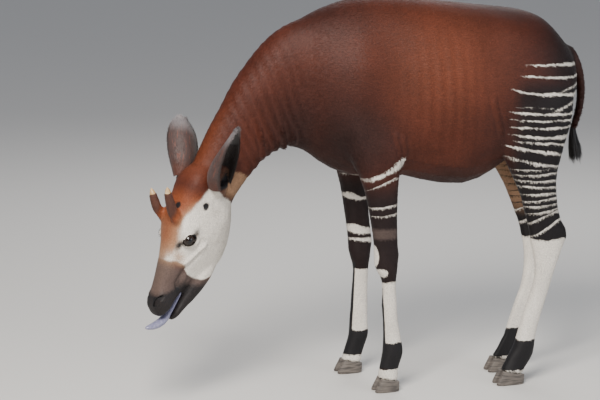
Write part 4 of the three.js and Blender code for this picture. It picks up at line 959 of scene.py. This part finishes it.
ROWS, COLUMNS = 56, 44
for side, ear in EARS.items():
    base, leaf_along, _, across, face_way = ear_frame(ear)
    t = np.linspace(0, 1, ROWS + 1)[:, None]
    s = np.linspace(-1, 1, COLUMNS + 1)[None, :]
    outline = np.interp(t * 9, np.arange(10), ear["outline"])
    for _ in range(6):  # rounds the outline's corners
        outline[1:-1] = 0.5 * outline[1:-1] + 0.25 * (outline[2:] + outline[:-2])
    half = ear["width"] / 2 * outline
    roll = ear["roll"][0] + (ear["roll"][1] - ear["roll"][0]) * t
    radius = half / np.sin(np.minimum(roll, math.pi / 2))
    angle = s * roll
    thick = (EAR_THICKNESS - 1.2) * (1 - 0.45 * t) * (1 - 0.6 * s * s)
    ripple = 1.1 * np.sin(s * 19 + 2.5 * t) * (1 - t) * (1 - s * s)
    grids = []
    for face_side in (-1, 1):
        r = radius + face_side * thick / 2 + ripple
        x_part = r * np.sin(angle)
        z_part = EAR_DEPTH * (radius * np.cos(roll) - r * np.cos(angle)) + EAR_CURL * ear["width"] * t * t
        flat_leaf = base + leaf_along * t[..., None] + across * x_part[..., None]
        grids.append(flat_leaf + face_way * z_part[..., None])
    inner_grid, outer_grid = grids
    grid_points = np.concatenate([inner_grid.reshape(-1, 3), outer_grid.reshape(-1, 3)])
    world_points = HEAD_ORIGIN + grid_points / 1000 @ HEAD_AXES + SHIFT
    cols = COLUMNS + 1
    size = (ROWS + 1) * cols
    faces = []
    for i in range(ROWS):
        for k in range(COLUMNS):
            a = i * cols + k
            faces.append((a, a + cols, a + cols + 1, a + 1))
            faces.append((size + a, size + a + 1, size + a + cols + 1, size + a + cols))
        a, b = i * cols, i * cols + COLUMNS
        faces.append((a, size + a, size + a + cols, a + cols))
        faces.append((b, b + cols, size + b + cols, size + b))
    for k in range(COLUMNS):
        a, b = k, ROWS * cols + k
        faces.append((a, a + 1, size + a + 1, size + a))
        faces.append((b, size + b, size + b + 1, b + 1))
    mesh = bpy.data.meshes.new(f"ear_leaf_{side}")
    mesh.from_pydata(world_points.tolist(), [], faces)
    mesh.update()
    bm = bmesh.new()
    bm.from_mesh(mesh)
    bmesh.ops.recalc_face_normals(bm, faces=bm.faces)
    bm.to_mesh(mesh)
    bm.free()
    share_t = np.tile(np.repeat(t.ravel(), cols), 2)
    share_s = np.tile(np.tile(s.ravel(), ROWS + 1), 2)
    inner_half = np.arange(2 * size) < size
    hand = 1 if side == "left" else -1
    rim_field = ease(np.abs(share_s), 0.9, 1.0) * (1 - ease(share_t, 0.86, 0.97))
    # painted shade: the whole inner face of the leaf, and the wisps inside it, are laid in near black
    put_field(mesh, "inside", inner_half * 0.99)
    # painted light: an orange glow on the inner wall of the cup, near one edge, halfway up
    painted_light = inner_half * np.exp(-0.5 * ((share_s * hand - 0.72) / 0.13) ** 2)
    painted_light = painted_light * np.exp(-0.5 * ((share_t - 0.45) / 0.2) ** 2)
    put_field(mesh, "painted_light", 0.9 * painted_light)
    put_field(mesh, "frost", 0.85 * ease(share_t, 0.7, 0.95) * ~inner_half)
    put_field(mesh, "root", 0.85 * (1 - ease(share_t, 0.06, 0.3)) * ~inner_half)
    put_field(mesh, "rim", rim_field)
    layer = mesh.uv_layers.new(name="leaf")
    order = np.empty(len(mesh.loops), np.int32)
    mesh.loops.foreach_get("vertex_index", order)
    layer.data.foreach_set("uv", np.stack([share_s / 2 + 0.5, share_t], 1)[order].astype(np.float32).ravel())
    leaf = bpy.data.objects.new(f"ear_leaf_{side}", mesh)
    bpy.context.scene.collection.objects.link(leaf)
    smooth_shaded(mesh)
    mesh.materials.append(ear_hide)
    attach(leaf, "root")
    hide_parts(f"ear_{side}")

    # fringe along the rim, longer at the tip; short hair over the back; wisps inside
    hairs = []
    kinds = []  # for each hair: way up the leaf, place across it, and its share of inside, frost and rim
    for kind, count, length in (("rim", 2600, 9.0), ("back", 9000, 6.0), ("inner", 2600, 17.0)):
        way = rng.random(count)
        if kind == "rim":
            position_s = rng.choice([-1.0, 1.0], count) * (1 - 0.03 * rng.random(count))
            at_tip = rng.random(count) < 0.2
            way[at_tip] = 1 - 0.02 * rng.random(at_tip.sum())
            position_s[at_tip] = rng.uniform(-1, 1, at_tip.sum())
        else:
            position_s = rng.uniform(-0.96, 0.96, count)
            if kind == "inner":
                way *= 0.62
        row, column = way * ROWS, (position_s + 1) / 2 * COLUMNS
        i0, k0 = np.clip(row.astype(int), 0, ROWS - 1), np.clip(column.astype(int), 0, COLUMNS - 1)
        source = inner_grid if kind == "inner" else outer_grid
        other = outer_grid if kind == "inner" else inner_grid
        u, v = (row - i0)[:, None], (column - k0)[:, None]
        root = (source[i0, k0] * (1 - u) * (1 - v) + source[i0 + 1, k0] * u * (1 - v)
                + source[i0, k0 + 1] * (1 - u) * v + source[i0 + 1, k0 + 1] * u * v)
        up = source[i0 + 1, k0] - source[i0, k0]
        up /= np.linalg.norm(up, axis=1)[:, None]
        out = source[i0, k0] - other[i0, k0]
        out /= np.linalg.norm(out, axis=1)[:, None]
        edge = np.cross(out, up)
        sideways = source[i0, k0 + 1] - source[i0, k0]
        sideways /= np.linalg.norm(sideways, axis=1)[:, None]
        if kind == "rim":
            spread = np.sign(position_s)[:, None] * (0.35 + 0.3 * rng.random(count))[:, None]
            lead = 0.8 * up + sideways * spread + 0.1 * out
        elif kind == "back":
            lead = up + 0.13 * out
        else:
            lead = 0.9 * up + 0.32 * out
        lead = lead + 0.16 * rng.normal(size=(count, 3))
        lead /= np.linalg.norm(lead, axis=1)[:, None]
        tip_growth = 1 + (0.8 * ease(way, 0.75, 1) if kind != "inner" else 0)
        long = length * (0.6 + 0.8 * rng.random(count)) * tip_growth
        flat_way = np.cross(out, lead)
        flat_way /= np.maximum(np.linalg.norm(flat_way, axis=1), 1e-6)[:, None]
        wide = (0.55 if kind == "inner" else 0.75) * (0.7 + 0.6 * rng.random(count))
        strip = np.empty((count, 3, 2, 3))
        for r, (step, narrow, sag) in enumerate(((-0.05, 1.0, 0), (0.5, 0.8, 0.0), (1.0, 0.0, -0.08))):
            spine = root + lead * (long * step)[:, None] + out * (long * sag)[:, None]
            strip[:, r, 0] = spine - flat_way * (wide * narrow)[:, None]
            strip[:, r, 1] = spine + flat_way * (wide * narrow)[:, None]
        hairs.append(strip)
        frost = 0.9 * ease(way, 0.68, 0.95) * (kind != "inner")
        kinds.append(np.stack([way, position_s, np.full(count, float(kind == "inner") * 0.8), frost,
                               np.full(count, 0.6 * (kind == "rim")) * (1 - ease(way, 0.7, 0.9))], 1))
    strips = HEAD_ORIGIN + np.concatenate(hairs) / 1000 @ HEAD_AXES + SHIFT
    kinds = np.concatenate(kinds)
    spots = np.stack([kinds[:, 1] / 2 + 0.5, kinds[:, 0]], 1) * 0.98 + 0.01
    root_share = 0.85 * (1 - ease(kinds[:, 0], 0.06, 0.3)) * (kinds[:, 2] < 0.5)
    carried = {"root": root_share, "inside": kinds[:, 2], "painted_light": 0 * kinds[:, 2], "frost": kinds[:, 3],
               "rim": kinds[:, 4]}
    fringe = mesh_of_blades(f"ear_hair_{side}", strips, carried, spots)
    leaf_map = fringe.data.uv_layers.new(name="leaf")
    per = 5  # vertices of one hair's blade
    where = np.empty(len(fringe.data.loops), np.int32)
    fringe.data.loops.foreach_get("vertex_index", where)
    leaf_map.data.foreach_set("uv", spots[where // per].astype(np.float32).ravel())
    fringe.data.materials.append(ear_hide)
    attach(fringe, "root")

# Eyes
# Large wet dark balls with a brown iris and a level oval pupil, under lids with a row of lashes.
wet, tree, shader = material("wet_eye", 0.06)
shader.inputs["Coat Weight"].default_value = 0.2
shader.inputs["Specular IOR Level"].default_value = 0.35
shader.inputs["Coat Roughness"].default_value = 0.02
pupil_colour = fixed(tree, (0.002, 0.002, 0.003))
iris_colour = fixed(tree, (0.012, 0.006, 0.004))
white_colour = fixed(tree, (0.025, 0.016, 0.012))
iris = shaded(tree, iris_colour, object_noise(tree, 260.0, 2.0), 0.6, 1.5)
in_iris = use(tree, "ShaderNodeAttribute", attribute_name="iris")
in_pupil = use(tree, "ShaderNodeAttribute", attribute_name="pupil")
colour = over(tree, white_colour, iris, in_iris.outputs["Fac"])
colour = over(tree, colour, pupil_colour, in_pupil.outputs["Fac"])
tree.links.new(colour, shader.inputs["Base Color"])
lash_look, tree, shader = material("lash_hair", 0.5)
shader.inputs["Base Color"].default_value = (0.012, 0.009, 0.008, 1)
LASHES, LASH_LENGTH, LASH_HALF = 90, 6.5, 0.28  # how many on a lid, mm long, half their width in mm
LASH_BEND = ((0, 1, 0), (0.4, 0.9, -0.05), (0.75, 0.6, -0.16), (1, 0, -0.32))  # along, width left, drop
for side, hand in (("left", 1), ("right", -1)):
    centre = from_head(EYE["n"], EYE["d"], hand * EYE["l"]) + SHIFT
    look, lid_across, lid_up = eye_frame(hand)
    level = np.array([1.0, 0.25, 0.0])
    level -= look * (level @ look)
    level /= np.linalg.norm(level)
    upright = np.cross(level, look)
    bm = bmesh.new()
    bmesh.ops.create_icosphere(bm, subdivisions=5, radius=1.0)
    mesh = bpy.data.meshes.new(f"eyeball_{side}")
    bm.to_mesh(mesh)
    bm.free()
    ball = points_of(mesh)
    spread_a, spread_b, front = ball @ level, ball @ upright, ball @ look
    put_field(mesh, "iris", ease(-np.hypot(spread_a, spread_b), -0.66, -0.56) * (front > 0))
    put_field(mesh, "pupil", ease(-np.hypot(spread_a / 0.4, spread_b / 0.24), -1.15, -0.9) * (front > 0))
    cornea = 1 + 0.035 * ease(-np.hypot(spread_a, spread_b), -0.62, -0.2) * (front > 0)
    radius = EYE["radius"] / 1000 - 0.0012
    set_points(mesh, centre + (ball * cornea[:, None] * radius) @ HEAD_AXES)
    eye = bpy.data.objects.new(f"eyeball_{side}", mesh)
    bpy.context.scene.collection.objects.link(eye)
    smooth_shaded(mesh)
    mesh.materials.append(wet)
    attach(eye, "root")
    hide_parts(f"eye_{side}")

    # lashes stand out along the upper lid and curve down
    a = rng.uniform(-21, 21, LASHES)
    b = (LID_UPPER - 1) * (1 - (a / LID_LONG) ** 2)
    a0, b0 = turned(a, b, -LID_TILT)
    depth = np.sqrt(np.maximum((EYE["radius"] + 3.0) ** 2 - a0 ** 2 - b0 ** 2, 0))
    root = lid_across * a0[:, None] + lid_up * b0[:, None] + look * depth[:, None]
    outwards = root / np.linalg.norm(root, axis=1)[:, None]
    lead = outwards + 0.5 * lid_across * (a / 24)[:, None] + 0.12 * rng.normal(size=(LASHES, 3))
    lead /= np.linalg.norm(lead, axis=1)[:, None]
    long = LASH_LENGTH * (0.7 + 0.5 * rng.random(LASHES))
    strip = np.empty((LASHES, len(LASH_BEND), 2, 3))
    flat_way = np.cross(lead, lid_up)
    flat_way /= np.linalg.norm(flat_way, axis=1)[:, None]
    for r, (step, narrow, sag) in enumerate(LASH_BEND):
        spine = root + lead * (long * step)[:, None] + lid_up * (long * sag)[:, None]
        strip[:, r, 0] = spine - flat_way * LASH_HALF * narrow
        strip[:, r, 1] = spine + flat_way * LASH_HALF * narrow
    middle_of_eye = np.array([EYE["n"], EYE["d"], hand * EYE["l"]])
    strips = HEAD_ORIGIN + (middle_of_eye + strip) / 1000 @ HEAD_AXES + SHIFT
    lash = mesh_of_blades(f"lashes_{side}", strips, {}, None)
    lash.data.materials.append(lash_look)
    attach(lash, "root")

# Horn tips, hooves and tongue
# Bare ends of the ossicones worn smooth and ivory, cloven hooves of layered grey horn with rings that
# follow the coronet, and a thick moist blue-grey tongue.
def rounded_copy(name, node, voxel, rounds):
    """A node's solid remade in fine even faces with its edges eased."""
    piece = closed_copy(name, [node], 0.0)
    even = piece.modifiers.new("even", "REMESH")
    even.mode = "VOXEL"
    even.voxel_size = voxel
    applied(piece)
    smoothed(piece.data, rounds, np.full(len(piece.data.vertices), 1.0))
    if "ossicone" in node:  # worn to a blunt point
        q = points_of(piece.data)
        middle = q.mean(0)
        line = np.linalg.svd(q - middle, full_matrices=False)[2][0]
        line *= np.sign(line @ to_brow)
        way = (q - middle) @ line
        share = np.clip((way - way.min()) / (way.max() - way.min()), 0, 1)
        set_points(piece.data, q - (q - middle - way[:, None] * line) * (0.62 * share ** 1.5)[:, None])
    smooth_shaded(piece.data)
    return piece


def two_tone(name, roughness, low, high, scale, stretch, strength):
    """A material whose colour runs between two tones in stretched noise that also raises its surface."""
    made, tree, shader = material(name, roughness)
    coords = use(tree, "ShaderNodeTexCoord")
    lie = use(tree, "ShaderNodeMapping", Scale=stretch)
    noise = use(tree, "ShaderNodeTexNoise", Scale=scale, Detail=4.0)
    tree.links.new(coords.outputs["Object"], lie.inputs["Vector"])
    tree.links.new(lie.outputs["Vector"], noise.inputs["Vector"])
    low_tone, high_tone = fixed(tree, low), fixed(tree, high)
    span = use(tree, "ShaderNodeMapRange", From_Min=0.35, From_Max=0.65)
    tree.links.new(noise.outputs["Fac"], span.inputs["Value"])
    tree.links.new(over(tree, low_tone, high_tone, span.outputs["Result"]), shader.inputs["Base Color"])
    raised = use(tree, "ShaderNodeBump", Distance=0.001, Strength=strength)
    tree.links.new(noise.outputs["Fac"], raised.inputs["Height"])
    tree.links.new(raised.outputs["Normal"], shader.inputs["Normal"])
    return made, shader


horn, _ = two_tone("polished_horn", 0.3, (0.45, 0.26, 0.10), (0.72, 0.56, 0.34), 40.0, (1, 1, 1), 0.2)
hoof_horn, _ = two_tone("hoof_horn", 0.55, (0.05, 0.042, 0.038), (0.16, 0.135, 0.115), 60.0,
                        (0.35, 0.35, 3.2), 0.6)
moist, shader = two_tone("moist_tongue", 0.3, (0.15, 0.15, 0.25), (0.25, 0.24, 0.35), 120.0, (1, 1, 1), 0.5)
shader.inputs["Coat Weight"].default_value = 0.4
# node, material, slot, size of its even faces in m, rounds of easing
RIGID = [(f"ossicone_tip_{s}", horn, "horn", 0.0012, 8) for s in ("left", "right")]
RIGID += [(f"hoof_{foot}_{claw}", hoof_horn, "hoof", 0.0022, 6)
          for foot in ("front_left", "front_right", "hind_left", "hind_right") for claw in ("outer", "inner")]
RIGID += [("tongue", moist, "tongue", 0.002, 16)]
for node, look, slot, voxel, rounds in RIGID:
    piece = rounded_copy(f"{node}_shown", node, voxel, rounds)
    piece.data.materials.append(look)
    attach(piece, "root")
    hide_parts(node)

# Tail tassel
# Long straight black hair from the tip of the tail, gathered in pointed locks swept to the rear.
tassel_look, tree, shader = material("tassel_hair", 0.45)
field = use(tree, "ShaderNodeAttribute", attribute_name="tone")
jet = fixed(tree, (0.013, 0.010, 0.010))
tree.links.new(shaded(tree, jet, field.outputs["Fac"], 0.5, 1.8), shader.inputs["Base Color"])
TASSEL_ROOT = np.array([1.092, -0.009, 0.95])
LOCKS, STRANDS, ROWS_OF_STRAND = 16, 150, 8
strands = []
tones = []
for lock in range(LOCKS):
    turn = lock * 2.4
    out = np.array([math.cos(turn), math.sin(turn), 0.0])
    length = rng.uniform(0.1, 0.136)
    lean = rng.uniform(0.55, 1.0)
    spread = rng.random((STRANDS, 2)) * [2 * math.pi, 1]
    around = np.stack([np.cos(spread[:, 0]), np.sin(spread[:, 0]), 0 * spread[:, 0]], 1)
    loose = np.sqrt(spread[:, 1])[:, None] * around
    long = length * (0.72 + 0.3 * rng.random(STRANDS))
    height = UPWARDS * (0.004 - 0.022 * rng.random((STRANDS, 1)))
    start = TASSEL_ROOT + 0.006 * out + 0.0045 * loose + height
    strip = np.empty((STRANDS, ROWS_OF_STRAND, 2, 3))
    for r in range(ROWS_OF_STRAND):
        way = r / (ROWS_OF_STRAND - 1)
        gather = math.sin(math.pi * min(way * 1.1, 1)) * 0.004
        spine = start + out * (0.016 * way * (0.4 + 0.6 * way)) + loose * gather
        spine = spine + np.array([0.021 * lean, 0, 0]) * way ** 2 - UPWARDS * (long * way)[:, None]
        wide = 0.0007 * (1 - way) ** 0.6
        facing_way = np.stack([-np.sin(spread[:, 0]), np.cos(spread[:, 0]), 0 * spread[:, 0]], 1)
        strip[:, r, 0] = spine - facing_way * wide
        strip[:, r, 1] = spine + facing_way * wide
    strands.append(strip)
    tones.append(rng.random(STRANDS))
tassel = mesh_of_blades("tassel_hair", np.concatenate(strands) + SHIFT, {"tone": np.concatenate(tones)}, None)
tassel.data.materials.append(tassel_look)
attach(tassel, "root")
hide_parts("tail_tassel")

# Studio
# A pale floor, soft light from above and in front, and the camera at the photograph's place.
bpy.ops.mesh.primitive_plane_add(size=60, location=(0, 0, -0.001))
floor = bpy.context.object
floor.name = "studio_floor"
ground, tree, shader = material("studio_floor", 0.85)
shader.inputs["Base Color"].default_value = (0.62, 0.6, 0.57, 1)
floor.data.materials.append(ground)
world = bpy.data.worlds.new("studio")
world.use_nodes = True
world.node_tree.nodes["Background"].inputs["Color"].default_value = (0.85, 0.9, 1.0, 1)
world.node_tree.nodes["Background"].inputs["Strength"].default_value = 0.42
bpy.context.scene.world = world
LAMPS = [  # place, size in m, power in W, colour
    ("key", (-2.4, -3.4, 4.4), 2.2, 520, (1.0, 0.96, 0.9)),
    ("fill", (3.8, -4.2, 2.4), 3.6, 120, (0.9, 0.95, 1.0)),
    ("rim", (1.5, 3.6, 3.8), 2.6, 90, (1.0, 1.0, 1.0)),
]
for name, place, size, power, tint in LAMPS:
    lamp = bpy.data.lights.new(name, "AREA")
    lamp.size = size
    lamp.energy = power
    lamp.color = tint
    held = bpy.data.objects.new(name, lamp)
    held.location = place
    held.rotation_euler = (Vector((0, 0, 0.8)) - Vector(place)).to_track_quat("-Z", "Y").to_euler()
    bpy.context.scene.collection.objects.link(held)

YAW, LIFT, AWAY = math.radians(-18), math.radians(11), 7.5
aim = Vector((0.0, 0.045, 0.72)) + Vector(SHIFT)
back = Vector((math.sin(YAW) * math.cos(LIFT), -math.cos(YAW) * math.cos(LIFT), math.sin(LIFT)))
right = Vector((math.cos(YAW), math.sin(YAW), 0))
lens = bpy.data.cameras.new("photo_view")
lens.sensor_width = 36
lens.lens = 120
camera = bpy.data.objects.new("photo_view", lens)
view_axes = Matrix((right, back.cross(right), back)).transposed().to_4x4()
camera.matrix_world = Matrix.Translation(aim + back * AWAY) @ view_axes
bpy.context.scene.collection.objects.link(camera)
bpy.context.scene.camera = camera
